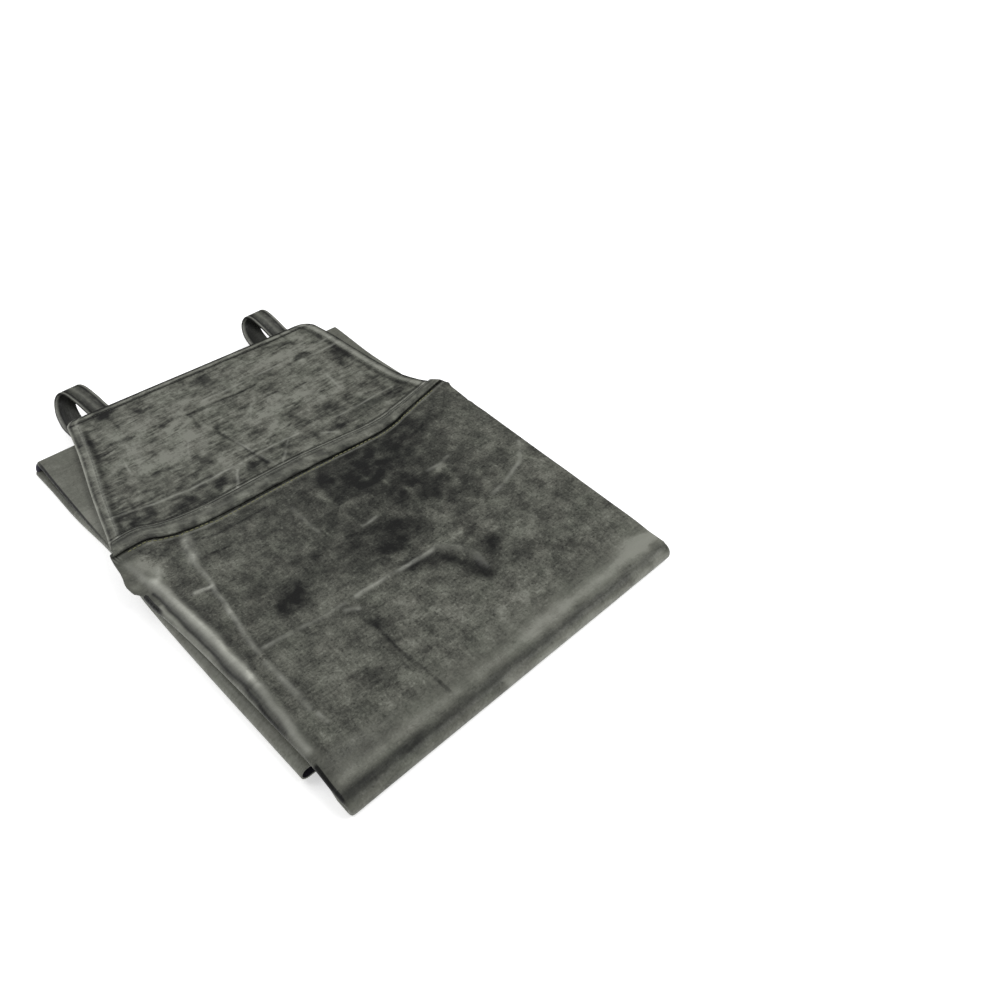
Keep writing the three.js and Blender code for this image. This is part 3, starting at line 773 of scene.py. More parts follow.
# %% Creases and soil of the skirt
SKIRT_STROKES = [
    # Long pale crease down the left side, a wedge at its top and a short branch
    stroke(4.5, [(-110, 55), (-114, 40), (-118, 28)], lift=0.5, rub_and_sheen=0.2),
    stroke(1.6, [(-113, 52), (-118, 28), (-122, -4), (-128, -38)], lift=1.0, rub_and_sheen=0.36, uneven=0.8),
    stroke(1.8, [(-128, -38), (-132, -64), (-133, -84)], lift=0.7, rub_and_sheen=0.26, uneven=0.4),
    stroke(2.2, [(-134, -94), (-135, -120), (-135, -145)], lift=0.6, rub_and_sheen=0.24),
    stroke(1.6, [(-133, -152), (-133, -162)], lift=0.3, rub_and_sheen=0.24),
    stroke(1.8, [(-136, -4), (-125, -6)], lift=0.5, rub_and_sheen=0.4),
    # Pale crease across the middle, ending in an arched fold
    stroke(1.5, [(-129, -82), (-95, -83), (-60, -85)], lift=0.5, rub_and_sheen=0.17, uneven=1.0),
    stroke(1.5, [(-50, -85), (-20, -86), (8, -88), (22, -89)], lift=0.8, rub_and_sheen=0.3, uneven=0.9),
    stroke(2.0, [(-64, -91), (-57, -95)], lift=0.3, rub_and_sheen=0.4),
    stroke(2.6, [(26, -89), (37, -102), (43, -116), (41, -128)], lift=1.9, rub_and_sheen=0.1, uneven=0.6),
    stroke(6.4, [(0, -90), (19, -97), (29, -112), (35, -127), (38, -137)], lift=-0.8, soil_and_shading=0.5, uneven=0.5),
    # Pale line that rises to the right edge
    stroke(
        1.6, [(100, -76), (128, -69), (145, -62), (154, -52), (161, -44)],
        lift=0.7, rub_and_sheen=0.2, uneven=1.0,
    ),
    stroke(1.6, [(80, -18), (92, -19), (104, -16)], lift=0.4, rub_and_sheen=0.2),
    stroke(1.4, [(0, -30), (14, -31)], rub_and_sheen=0.24),
    # Thin dark creases
    stroke(1.2, [(-106, 49), (-95, 43), (-61, 40), (-43, 41)], soil_and_shading=0.32),
    stroke(1.1, [(-112, 26), (-88, 24)], soil_and_shading=0.34),
    stroke(1.1, [(-62, 15), (-52, 14)], soil_and_shading=0.3),
    stroke(1.4, [(-57, -118), (-57, -160), (-56, -196)], lift=-0.3, soil_and_shading=0.34, uneven=0.9),
    stroke(3.2, [(-60, -92), (-56, -120)], soil_and_shading=0.24, uneven=0.9),
    stroke(1.0, [(-8, -128), (-34, -134)], soil_and_shading=0.26),
    stroke(1.2, [(96, 26), (114, 31)], soil_and_shading=0.3),
    stroke(1.6, [(-30, 24), (-30, -12)], rub_and_sheen=0.1),
    stroke(1.4, [(-62, -20), (-60, -44)], soil_and_shading=0.12),
    stroke(1.8, [(138, -110), (136, -150)], soil_and_shading=0.14),
    # Ridge, crease and flank of the left roll: the pale lines are painted highlights over raised ridges,
    # the dark lines painted shade in its crease and between the layers
    stroke(3.4, [(-153.4, 28), (-151.4, 10), (-150.4, -33), (-150.2, -97)], lift=1.5, rub_and_sheen=0.56, uneven=0.1),
    stroke(2.4, [(-149.6, -98), (-149.8, -105)], rub_and_sheen=0.5, uneven=0),
    stroke(1.3, [(-150, 0), (-149.4, -40), (-149.2, -96)], lift=0.3, rub_and_sheen=0.26, uneven=0.6),
    stroke(
        1.0, [(-154.6, 0), (-154.2, -60), (-154.4, -110), (-156.4, -150)],
        lift=-0.4, soil_and_shading=0.3, uneven=0.5,
    ),
    stroke(2.8, [(-150.2, -108), (-152.4, -140), (-155, -170)], lift=1.1, rub_and_sheen=0.34, uneven=0.2),
    stroke(
        1.0, [(-158.6, 18), (-157.2, 0), (-156.8, -100), (-158.8, -150), (-160.2, -180)],
        lift=-0.5, soil_and_shading=0.6, uneven=0.2,
    ),
    stroke(1.8, [(-161, 2), (-160.6, -100), (-162, -170)], soil_and_shading=-0.2, rub_and_sheen=0.3, uneven=0.1),
    stroke(2.8, [(-144, 16), (-143.4, -50), (-144, -110), (-148, -180)], soil_and_shading=0.1),
    stroke(2.2, [(-143, 38), (-147, 30), (-152, 24)], lift=0.9, rub_and_sheen=0.3, uneven=0.3),
    stroke(3.0, [(-158, 58), (-157, 44), (-156, 34)], lift=0.5, rub_and_sheen=0.22, uneven=0.4),
    # Near fold: a painted highlight as a pale band on its shoulder, a dark line under it that is partly
    # soil and partly painted shade, and a paler rim painted as light thrown up by the floor
    stroke(5.2, [(-150, -199), (0, -199.5), (160, -198)], soil_and_shading=-0.2, rub_and_sheen=0.03, uneven=0.15),
    stroke(7.0, [(20, -199), (160, -197)], soil_and_shading=-0.14, rub_and_sheen=0.05, uneven=0.2),
    stroke(2.6, [(-160, -209.2), (0, -209.6), (158, -210)], soil_and_shading=0.14, uneven=0.2),
    stroke(3.2, [(-158, -208.6), (-80, -209.2), (10, -209.4)], soil_and_shading=0.1, uneven=0.2),
    stroke(4.5, [(-158, -208), (-125, -209), (-95, -209.4)], soil_and_shading=0.16, uneven=0.2),
    stroke(2.8, [(-158, -216.6), (158, -216.6)], soil_and_shading=-0.16, uneven=0.2),
    stroke(2.6, [(-20, -216.6), (158, -216.6)], soil_and_shading=-0.18, uneven=0.2),
]
SKIRT_SPOTS = [
    # Broad soiling of the upper middle
    (45, 24, 66, 28, 0.42),
    (118, 42, 34, 11, 0.2),
    (60, -26, 52, 26, 0.24),
    (0, -46, 46, 26, 0.2),
    (94, -56, 34, 20, 0.1),
    (-84, -40, 44, 22, 0.1),
    (-60, 22, 44, 20, 0.06),
    # Stains
    (6, -64, 22, 8, 0.5),
    (15, -50, 13, 7, 0.3),
    (-84, -54, 18, 8, 0.56, 8),
    (-9, -36, 15, 8, 0.22),
    (3, -19, 9, 7, 0.22),
    (-14, -17, 7, 6, 0.12),
    (28, 1, 8, 8, 0.2),
    (50, 11, 13, 9, 0.22, 30),
    (58, -20, 17, 10, 0.2, -20),
    (76, -42, 20, 12, 0.12),
    (78, -66, 9, 12, 0.14),
    (10, 34, 9, 7, 0.26),
    (54, 35, 12, 6, 0.2),
    (-16, 36, 6, 8, 0.24),
    (88, 32, 14, 8, 0.14),
    (66, -142, 12, 7, 0.16),
    (59, -117, 11, 8, 0.44),
    (58, -95, 9, 7, 0.34),
    (37, -130, 7, 9, 0.16),
    (-140, -82, 5, 5, 0.26),
    (-141, -52, 6, 10, 0.16),
    (-139, 52, 7, 5, 0.26),
    (-128, 56, 12, 4, 0.3),
    (-53, -136, 5, 4, 0.2),
    (-50, -108, 9, 14, 0.12),
    (-84, -158, 12, 8, 0.1),
    (130, -112, 14, 12, 0.1),
    (96, -162, 16, 8, 0.12),
    (-140, 18, 9, 8, 0.1),
    # Cleaner cloth
    (-150, 42, 12, 15, -0.4),
    (-3, 18, 5, 11, -0.34),
    (91, -23, 4, 3, -0.4),
    (30, -38, 12, 8, -0.16),
    (46, -90, 13, 5, -0.26),
    (73, -104, 7, 6, -0.14),
    (128, 12, 14, 12, -0.1),
    (-100, 3, 16, 8, -0.1),
    (-105, -130, 18, 9, -0.1),
    (-80, -135, 8, 6, -0.08),
    (-4, -132, 14, 12, -0.18),
    (-36, -118, 12, 18, -0.12),
    (-92, -112, 14, 10, -0.12),
    (92, -124, 16, 12, -0.1),
    # Lighter at the right end of the near fold's shoulder: painted highlight
    (144, -198, 26, 16, -0.26, 30),
    (128, -86, 34, 20, -0.06),
    (-30, -182, 120, 18, -0.1),
    (30, -164, 40, 20, -0.08),
]
SKIRT_SOIL = 0.42
HIDDEN_SOIL = 0.08
REAR_FOLD_SOIL = 0.26

skirt_x, skirt_y = skirt_grid[..., 0], skirt_grid[..., 1]
on_top = np.zeros(skirt_grid.shape[0])
shown = len(top_lines) + NEAR_FOLD_LINES
on_top[:len(top_lines)] = 1
on_top[len(top_lines):shown] = ease(np.linspace(2.0, 0, NEAR_FOLD_LINES))
on_panel = np.zeros(skirt_grid.shape[1])
first_panel = FLAP_COLUMNS + ROLL_STEPS // 2
last_panel = FLAP_COLUMNS + ROLL_STEPS + PANEL_COLUMNS + CREASE_STEPS // 2
on_panel[first_panel:last_panel] = 1
where = on_top[:, None] * on_panel[None, :]
painted = paint(skirt_x, skirt_y, SKIRT_STROKES, SKIRT_SPOTS, 2.5)
below_seam = seam_y(skirt_x) - skirt_y
hills = 1.3 * waviness(skirt_x[:shown], skirt_y[:shown], 62.0, 3.1)
hills += 0.4 * waviness(skirt_x[:shown], skirt_y[:shown], 21.0, 8.4)
lift = np.zeros(skirt_x.shape)
lift[:shown] = 0.3 + hills + painted["lift"][:shown]
lift = np.maximum(lift, 0) * where * ease((below_seam - 4) / 22)
lift *= ease((skirt_x + 161) / 9) * ease((172 - skirt_x) / 16)
lift[len(top_lines):] *= 0.3
skirt_grid -= sheet_normals(skirt_grid) * lift[..., None]

# %% The skirt's cloth
skirt_flat = flat_places(skirt_grid)
unrolled_x = skirt_flat[..., 0].copy()
last_shown = last_panel - 1
skirt_flat[:, first_panel:last_panel, 0] = skirt_x[:, first_panel:last_panel]
skirt_flat[:, :first_panel, 0] += (skirt_x - unrolled_x)[:, first_panel:first_panel + 1]
skirt_flat[:, last_panel:, 0] += (skirt_x - unrolled_x)[:, last_shown:last_panel]
skirt_flat[..., 1] -= skirt_flat[len(top_lines) - 1, 0, 1] + skirt_y[len(top_lines) - 1, 0]
skirt_flat[:len(top_lines), :, 1] = -skirt_y[:len(top_lines)]
skirt_soil_and_shading = painted["soil_and_shading"] + 0.5 * ridge(below_seam, 0.4, 1.0)
skirt_soil_and_shading += 0.12 * ridge(below_seam, 6.0, 4.0)
skirt_rub_and_sheen = painted["rub_and_sheen"] + 0.24 * ridge(below_seam, 3.4, 0.9)
# Painted shade: at three places of the left side the cloth is painted dark, where the layers of the real
# apron gape and one looks into the shadow inside a fold
column = np.arange(skirt_grid.shape[1])[None, :]
at_side = (column >= FLAP_COLUMNS) & (column < FLAP_COLUMNS + ROLL_STEPS - 1)
row = np.arange(skirt_grid.shape[0])[:, None]


def between(upper, upper_fade, lower, lower_fade):
    """1 between two heights on the plan, fading over some millimetres inside each."""
    return ease((upper - skirt_y) / upper_fade) * ease((skirt_y - lower) / lower_fade)


shade_under_armhole = 1.4 * between(30, 5, -6, 12) * (row < len(top_lines))
shade_at_near_corner = 1.4 * between(-180, 5, -212, 8) * (row < shown)
shade_at_rear_corner = 0.9 * between(FOLDED_LENGTH, 5, 60, 110) * (row >= shown) * (row < shown + MIDDLE_LINES)
painted_gap_shade = np.maximum.reduce([shade_under_armhole, shade_at_near_corner, shade_at_rear_corner]) * at_side
skirt_soil_and_shading_all = np.where(where > 0, SKIRT_SOIL + skirt_soil_and_shading * where, HIDDEN_SOIL)
skirt_soil_and_shading_all = np.where((where == 0) & (skirt_y > 150), REAR_FOLD_SOIL, skirt_soil_and_shading_all) + painted_gap_shade
skirt_rub_and_sheen = skirt_rub_and_sheen * (1 - np.minimum(painted_gap_shade, 1))
# Rolls and the near end are smooth and evenly worn, the middle is blotchy
calm = np.maximum(1 - where, 0.8 * ease((-168 - skirt_y) / 26))
calm = np.maximum(calm, ease((-146 - skirt_x) / 4))
skirt = cloth_sheet(
    "skirt_cloth", skirt_grid, SHEET, [skirt_cloth, backing], -1,
    marks={"soil_and_shading": skirt_soil_and_shading_all, "rub_and_sheen": skirt_rub_and_sheen * where, "mottle": 1 - 0.65 * calm},
    flat=skirt_flat, rows=range(len(top_lines), shown), columns=[
        *range(FLAP_COLUMNS, FLAP_COLUMNS + ROLL_STEPS),
        *range(last_panel - CREASE_STEPS, last_panel + CREASE_STEPS),
    ],
)
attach(skirt, "root")
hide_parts("skirt_panel")

# %% [markdown]
# ## The bib
# The bib lies on the folded skirt and reaches past the rear fold. Its sides curve in from the
# waist, its corners are rounded, and its edges are hemmed: the cloth is doubled there, which
# shows as a low ridge with a row of stitches.

# %% Shape of the bib
BIB_ROWS = [
    {"up": 0.00, "left": -0.478, "right": 0.492, "rise": 0, "sag": 0},
    {"up": 0.10, "left": -0.462, "right": 0.466, "rise": 0, "sag": 0.4},
    {"up": 0.22, "left": -0.446, "right": 0.448, "rise": 0, "sag": 0.9},
    {"up": 0.42, "left": -0.418, "right": 0.436, "rise": 0.2, "sag": 1},
    {"up": 0.62, "left": -0.388, "right": 0.428, "rise": 0.6, "sag": 0.5},
    {"up": 0.78, "left": -0.366, "right": 0.422, "rise": 1, "sag": 0},
    {"up": 1.00, "left": -0.339, "right": 0.410, "rise": 1, "sag": 0},
]
LEFT_CORNER = 9.0
RIGHT_CORNER = 14.0
HEM_DROP = SHEET + SEAT_GAP
BIB_REST = RESTING - SHEET / 2
REAR_RISE = 2 * FOLD_RADIUS + SEAT_GAP + HEM_DROP + SHEET / 2 - BIB_REST


def corner_inset(radius, from_top):
    """How far a rounded corner draws the side in, at a distance under the top edge."""
    reach = np.clip(radius - from_top, 0, radius)
    return radius - np.sqrt(np.maximum(radius**2 - reach**2, 0))


def bib_side(side, up):
    radius = LEFT_CORNER if side == "left" else RIGHT_CORNER
    inset = corner_inset(radius, (1 - up) * BIB_LENGTH)
    edge = along(BIB_ROWS, "up", side, up) * BIB_SPAN
    return edge + inset if side == "left" else edge - inset


def bib_points(across, up, drop=0.0):
    left, right = bib_side("left", up), bib_side("right", up)
    x = left + (right - left) * across
    low = seam_y(x) + band_width(x) / 2 + SEAM_JOINT / 2
    high = SEAM_BASE + BIB_LENGTH + BIB_TOP_SLOPE * x
    y = low + (high - low) * up
    sag = BIB_SAG * along(BIB_ROWS, "up", "sag", up) * np.sin(np.pi * across)
    lift = stack_lift(y) * bulge_at(x)
    z = BIB_REST + REAR_RISE * along(BIB_ROWS, "up", "rise", up) + lift - sag - drop
    return np.stack([x, y, z], axis=-1)


BIB_STROKES = [
    # Crease across the upper bib, dark with a pale line above it
    stroke(2.4, [(-98, 196), (-78, 193)], soil_and_shading=0.4),
    stroke(2.0, [(-57, 192), (-42, 190)], soil_and_shading=0.34),
    stroke(1.2, [(-28, 187), (0, 185), (26, 182), (40, 182)], soil_and_shading=0.46, lift=-0.3),
    stroke(1.4, [(40, 183), (66, 184), (90, 186)], soil_and_shading=0.2),
    stroke(1.0, [(-8, 194), (30, 192), (76, 192)], rub_and_sheen=0.24, lift=0.3),
    stroke(1.0, [(104, 194), (138, 194)], rub_and_sheen=0.26),
    stroke(1.0, [(94, 183), (138, 182)], rub_and_sheen=0.26),
    stroke(0.9, [(-17, 164), (26, 163)], soil_and_shading=0.2),
    stroke(1.1, [(28, 162), (50, 162)], soil_and_shading=0.36),
    stroke(1.6, [(52, 154), (76, 154)], soil_and_shading=0.28),
    # Upright crease in the middle
    stroke(1.8, [(-27, 186), (-29, 165)], soil_and_shading=0.26),
    stroke(1.5, [(-20, 150), (-15, 124), (-13, 102), (-12, 86)], soil_and_shading=0.4, lift=-0.3),
    stroke(0.9, [(-15, 128), (-12, 108)], rub_and_sheen=0.34, lift=0.4),
    stroke(1.0, [(-10, 98), (-6, 74)], rub_and_sheen=0.16, lift=0.3),
    # Pale line along the waist, soiled on both sides
    stroke(1.0, [(-143, 114), (-108, 107), (-68, 103), (-27, 102)], rub_and_sheen=0.34, lift=0.3),
    stroke(0.9, [(-24, 102), (18, 102), (30, 100)], rub_and_sheen=0.28),
    stroke(0.9, [(62, 96), (132, 93)], rub_and_sheen=0.26),
    stroke(1.1, [(-48, 78), (-34, 97)], rub_and_sheen=0.34),
    stroke(1.0, [(-6, 73), (18, 99)], rub_and_sheen=0.16),
    stroke(1.2, [(45, 86), (57, 77)], rub_and_sheen=0.24),
    stroke(1.3, [(-143, 117), (-130, 112)], soil_and_shading=0.5),
    stroke(1.6, [(-143, 109), (-125, 100)], soil_and_shading=0.4),
    stroke(1.6, [(-124, 108), (-120, 128)], soil_and_shading=0.34),
    stroke(1.4, [(-117, 127), (-99, 124)], soil_and_shading=0.26),
    stroke(2.0, [(-132, 96), (-126, 84)], soil_and_shading=0.3),
    stroke(1.2, [(-120, 118), (-84, 112)], soil_and_shading=0.2),
    # Scratches
    stroke(1.0, [(-58, 134), (-53, 145), (-46, 158)], rub_and_sheen=0.2),
    stroke(1.0, [(-103, 151), (-99, 169)], rub_and_sheen=0.22),
    stroke(1.6, [(98, 150), (96, 128)], rub_and_sheen=0.2),
    stroke(1.0, [(10, 146), (22, 162)], rub_and_sheen=0.14),
    stroke(3.0, [(-90, 196), (-88, 160)], rub_and_sheen=0.08),
    # Dark upright lines from the strap bases
    stroke(1.6, [(-81, 238), (-82, 212)], soil_and_shading=0.4),
    stroke(1.3, [(104, 238), (103, 212)], soil_and_shading=0.34),
    stroke(1.2, [(116, 236), (115, 224)], soil_and_shading=0.3),
]
BIB_SPOTS = [
    # Dark patch over the left strap's sewn end: soil at its stitching and painted shade of the dent there
    (-82, 240, 12, 8, 0.7),
    (-55, 225, 6, 13, 0.36),
    (-113, 214, 7, 16, 0.26),
    (8, 219, 10, 12, 0.42),
    (-8, 229, 8, 5, 0.26),
    (98, 214, 6, 9, 0.24),
    (76, 224, 9, 9, 0.16),
    (40, 228, 12, 6, 0.14),
    (127, 171, 9, 13, 0.44),
    (123, 153, 7, 10, 0.3),
    (123, 110, 6, 19, 0.3),
    (128, 214, 6, 18, 0.12),
    (100, 189, 9, 3.6, 0.5),
    (56, 187, 10, 4.4, 0.3),
    (92, 166, 7, 6, 0.24),
    (55, 172, 18, 6, 0.18),
    (12, 172, 24, 6, 0.14),
    (8, 158, 10, 6, 0.12),
    (-20, 158, 4.5, 6.5, 0.36),
    (-113, 180, 8, 22, 0.16),
    (-114, 138, 12, 14, 0.18),
    (-82, 136, 12, 5, 0.2),
    (8, 132, 9, 5.2, 0.4),
    (41, 122, 7, 9, 0.3),
    (-50, 123, 7.5, 14, 0.34),
    (-26, 133, 8, 8, 0.24),
    (68, 107, 9, 7, 0.3),
    (92, 113, 8, 6, 0.16),
    (7, 110, 7, 3, 0.3),
    (-50, 94, 8.5, 6.5, 0.46),
    (-20, 93.5, 8.5, 7.5, 0.5),
    (8, 94, 9, 6, 0.46),
    (39, 93, 6, 8, 0.36),
    (-80, 94, 10, 7, 0.4),
    (-118, 101, 11, 7, 0.46),
    (-134, 100, 9, 8, 0.36),
    (65, 85, 8, 4, 0.26),
    (94, 95, 8, 6, 0.26),
    (130, 86, 10, 7, 0.22),
    (-100, 86, 36, 8, 0.16),
    (0, 84, 60, 7, 0.1),
    (102, 84, 40, 7, 0.12),
    (-85, 118, 14, 6, 0.12),
    (-96, 98, 62, 27, 0.17),
    (96, 95, 60, 24, 0.13),
    (-75, 225, 40, 14, 0.08),
    # Cleaner cloth
    (-46, 182, 10, 6, -0.26),
    (-44, 168, 11, 9, -0.2),
    (-100, 238, 11, 10, -0.26),
    (25, 145, 12, 9, -0.2),
    (-35, 117, 6, 11, -0.24),
    (64, 142, 16, 10, -0.16),
    (80, 127, 10, 6, -0.12),
    (-72, 152, 22, 14, -0.14),
    (22, 118, 8, 9, -0.12),
    (78, 205, 20, 8, -0.1),
    (-68, 212, 8, 12, -0.12),
    (110, 205, 7, 7, -0.1),
]
BIB_SOIL = 0.22

up_steps = np.concatenate([np.linspace(0, 0.93, 158), np.linspace(0.934, 1, 18)])
bib_up, bib_across = np.meshgrid(up_steps, np.linspace(0, 1, 310), indexing="ij")
bib_grid = bib_points(bib_across, bib_up)
bib_x, bib_y = bib_grid[..., 0], bib_grid[..., 1]
from_left = bib_x - bib_side("left", bib_up)
from_right = bib_side("right", bib_up) - bib_x
from_top = (1 - bib_up) * BIB_LENGTH
print("bib grid", bib_grid.shape[:2])

# %% Hems and wear of the bib
STITCH_INSET = 8.5
EDGE_WEAR = [
    # Edge, distance from it, width of the line, soil, rub
    ("band", 4.4, 0.9, 0.5, 0), ("band", 0, 1.0, 0.3, 0), ("band", 2.4, 0.8, 0, 0.2),
    ("top", 0, 2.0, 0.85, 0), ("top", STITCH_INSET, 1.6, 0.75, 0),
    ("top", 4.6, 2.0, -0.1, 0), ("top", 4.4, 1.4, 0, 0.1),
    ("left", 2.6, 1.2, 0.34, 0), ("left", 12.5, 2.8, 0.26, 0),
    ("left", 0, 1.2, 0, 0.55), ("left", 8.0, 1.4, 0, 0.3),
    ("right", 0, 2.0, 0.6, 0), ("right", 11.5, 2.4, 0.34, 0), ("right", 5.5, 2.6, 0, 0.3),
]

bib_paint = paint(bib_x, bib_y, BIB_STROKES, BIB_SPOTS, 7.5)
hemmed = (from_left, from_right, from_top)
doubled = np.maximum.reduce([1 - ease((d - HEM_WIDTH + 1) / 2.4) for d in hemmed])
sewn = np.maximum.reduce([ridge(d, STITCH_INSET, 1.1) for d in hemmed])
from_edge = {
    "left": from_left, "right": from_right, "top": from_top,
    "band": bib_y - seam_y(bib_x) - band_width(bib_x),
}
bib_soil_and_shading = BIB_SOIL + bib_paint["soil_and_shading"]
bib_rub = bib_paint["rub_and_sheen"].copy()
for side, place, width, soil_and_shading, rub_and_sheen in EDGE_WEAR:
    near = ridge(from_edge[side], place, width)
    bib_soil_and_shading += soil_and_shading * near
    bib_rub += rub_and_sheen * near
clear_of_band = ease((bib_up - 0.045) / 0.06)
bib_lift = 0.9 * waviness(bib_x, bib_y, 48.0, 5.2) + 0.3 * waviness(bib_x, bib_y, 15.0, 1.7)
bib_lift += bib_paint["lift"] + 0.5 * doubled - 0.35 * sewn
inside_edges = ease(from_left / 10) * ease(from_right / 10) * ease(from_top / 10)
bib_lift *= clear_of_band * (0.35 + 0.65 * inside_edges)
bib_grid += sheet_normals(bib_grid) * np.maximum(bib_lift, 0)[..., None]
bib = cloth_sheet(
    "bib_cloth", bib_grid, SHEET, [bib_cloth, backing], 1, marks={"soil_and_shading": bib_soil_and_shading, "rub_and_sheen": bib_rub},
    flat=np.stack([bib_x, -bib_y], axis=2),
)
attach(bib, "root")
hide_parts("bib_panel")

# %% [markdown]
# ## Hem strips
# The cloth turned under at the bib's edges is a narrow strip just beneath it. It shows only
# from the side, as a second edge.

# %% Hem strips under the bib
def hem_strip(name, across, up):
    grid = bib_points(across, up, HEM_DROP)
    rows, columns = grid.shape[:2]
    marks = {"soil_and_shading": np.full((rows, columns), 0.4), "rub_and_sheen": np.zeros((rows, columns))}
    piece = cloth_sheet(name + "_strip", grid, SHEET, [bib_cloth, backing], -1, marks=marks)
    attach(piece, "root")
    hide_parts(name)
    return piece


def strip_grid(first, second, count):
    return np.meshgrid(first, np.linspace(*second, count), indexing="ij")


hem_share = HEM_WIDTH / BIB_SPAN
top_up, top_across = strip_grid(np.linspace(1 - HEM_WIDTH / BIB_LENGTH, 1, 9), (0.035, 0.965), 90)
side_up = np.linspace(0.05, 1 - (HEM_WIDTH + 2 * SEAT_GAP) / BIB_LENGTH, 80)
left_up, left_across = strip_grid(side_up, (0, hem_share), 7)
right_up, right_across = strip_grid(side_up, (1 - hem_share, 1), 7)
hems = [
    hem_strip("bib_top_hem", top_across, top_up),
    hem_strip("bib_left_hem", left_across, left_up),
    hem_strip("bib_right_hem", right_across, right_up),
]

# %% [markdown]
# ## The waist seam
# Bib and skirt meet under a band of the same cloth, sewn down along both edges. The thread
# pulls the band down, so it is highest along its middle.

# %% Waist band
BAND_COLUMNS = 300
BAND_ROWS = 15
band_left = LEFT_ARMHOLE[-1][0] * FOLDED_WIDTH + SHEET / 2
band_right = RIGHT_ARMHOLE[0][0] * FOLDED_WIDTH - SHEET / 2


def band_points(along_band, over):
    """over runs from 0 at the band's lower edge to 1 at its upper edge."""
    inset = SEAM_END_SLANT * over
    x = (band_left + inset) + (band_right - band_left - 2 * inset) * along_band
    y = seam_y(x) + band_width(x) * over
    z = panel_z(x, seam_y(x) + SEAM_BAND / 2) + SHEET + SEAT_GAP
    return np.stack([x, y, z], axis=-1)


band_over, band_along = np.meshgrid(
    np.linspace(0, 1, BAND_ROWS), np.linspace(0, 1, BAND_COLUMNS), indexing="ij"
)
band_grid = band_points(band_along, band_over)
band_x = band_grid[..., 0]
pucker = 0.5 + 0.5 * np.sin(band_x / 9.0 + 2 * np.sin(band_x / 31.0))
band_grid[..., 2] += (0.35 + 0.4 * pucker) * np.sin(np.pi * band_over) ** 0.7
band_soil = 0.4 + 0.5 * ridge(band_over, 0, 0.06) + 0.4 * ridge(band_over, 1, 0.07)
band_soil += 0.2 * ridge(band_over, 0.74, 0.06)
band_soil += 0.7 * (waviness(band_x, band_grid[..., 1], 11.0, 2.2) - 0.5)
band_rub = 0.08 * ridge(band_over, 0.5, 0.2) + 0.16 * ridge(band_over, 0.85, 0.05)
band = cloth_sheet(
    "waist_band", band_grid, SHEET, [band_cloth, backing], 1, marks={"soil_and_shading": band_soil, "rub_and_sheen": band_rub},
)
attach(band, "root")
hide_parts("waist_seam")

# %% [markdown]
# ## Stitches
# Each stitch is a small rounded bar of thread, half sunk in the cloth. All stitches of one
# seam are joined in one mesh. Real stitches here are about 3.5 mm long with a 0.8 mm gap.

# %% Stitch builder
STITCH_LONG = 3.4
STITCH_PITCH = 4.2
THREAD = 0.42


def sewn_line(name, path, material, radius=THREAD):
    path = np.asarray(path, float)
    pieces = np.linalg.norm(np.diff(path, axis=0), axis=1)
    run = np.concatenate([[0], np.cumsum(pieces)])

    def at(distance):
        return np.array([np.interp(distance, run, path[:, i]) for i in range(3)])

    sections = [(-0.5, 0.25), (-0.4, 0.85), (0.0, 1.0), (0.4, 0.85), (0.5, 0.25)]
    points, faces = [], []
    sides = 6
    for middle in np.arange(STITCH_PITCH, run[-1] - STITCH_PITCH / 2, STITCH_PITCH):
        ahead = at(middle + 1) - at(middle - 1)
        ahead /= np.linalg.norm(ahead)
        beside = np.cross(ahead, (0, 0, 1))
        beside /= np.linalg.norm(beside)
        above = np.cross(beside, ahead)
        first = len(points)
        for place, share in sections:
            centre = at(middle + place * STITCH_LONG) + above * radius * (share - 1) * 0.9
            for k in range(sides):
                angle = 2 * math.pi * k / sides
                outward = beside * math.cos(angle) + above * math.sin(angle)
                points.append(centre + radius * share * outward)
        for ring in range(len(sections) - 1):
            for k in range(sides):
                a = first + ring * sides + k
                b = first + ring * sides + (k + 1) % sides
                faces.append((a, a + sides, b + sides, b))
        faces.append(tuple(first + k for k in range(sides)))
        faces.append(tuple(first + (len(sections) - 1) * sides + k for k in reversed(range(sides))))
    mesh = bpy.data.meshes.new(name)
    mesh.from_pydata(to_frame(points).tolist(), [], faces)
    mesh.materials.append(material)
    mesh.polygons.foreach_set("use_smooth", np.ones(len(faces), bool))
    piece = bpy.data.objects.new(name, mesh)
    bpy.context.scene.collection.objects.link(piece)
    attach(piece, "root")
    print(name, len(points) // (sides * len(sections)), "stitches")
    return piece


def on_band(over):
    row = over * (BAND_ROWS - 1)
    low = int(row)
    line = band_grid[low] + (band_grid[min(low + 1, BAND_ROWS - 1)] - band_grid[low]) * (row - low)
    return line + np.array([0, 0, SHEET / 2 + 0.15])


def on_bib(across_index, up_index):
    return bib_grid[up_index, across_index] + np.array([0, 0, SHEET / 2 + 0.12])


def bib_line(side, inset):
    """Points of the bib at a distance inside one of its edges."""
    points = []
    if side == "top":
        rows = int(np.argmin(np.abs((1 - up_steps) * BIB_LENGTH - inset)))
        for k in range(bib_grid.shape[1]):
            if from_left[rows, k] > inset and from_right[rows, k] > inset:
                points.append(on_bib(k, rows))
        return points
    distance = from_left if side == "left" else from_right
    for row in range(8, bib_grid.shape[0]):
        if from_top[row, 0] < inset:
            break
        line = distance[row] if side == "left" else distance[row][::-1]
        k = np.interp(inset, line, np.arange(len(line)))
        low = int(k)
        shift = k - low
        if side == "right":
            low, shift = len(line) - 2 - low, 1 - shift
        point = bib_grid[row, low] * (1 - shift) + bib_grid[row, low + 1] * shift
        points.append(point + np.array([0, 0, SHEET / 2 + 0.12]))
    return points


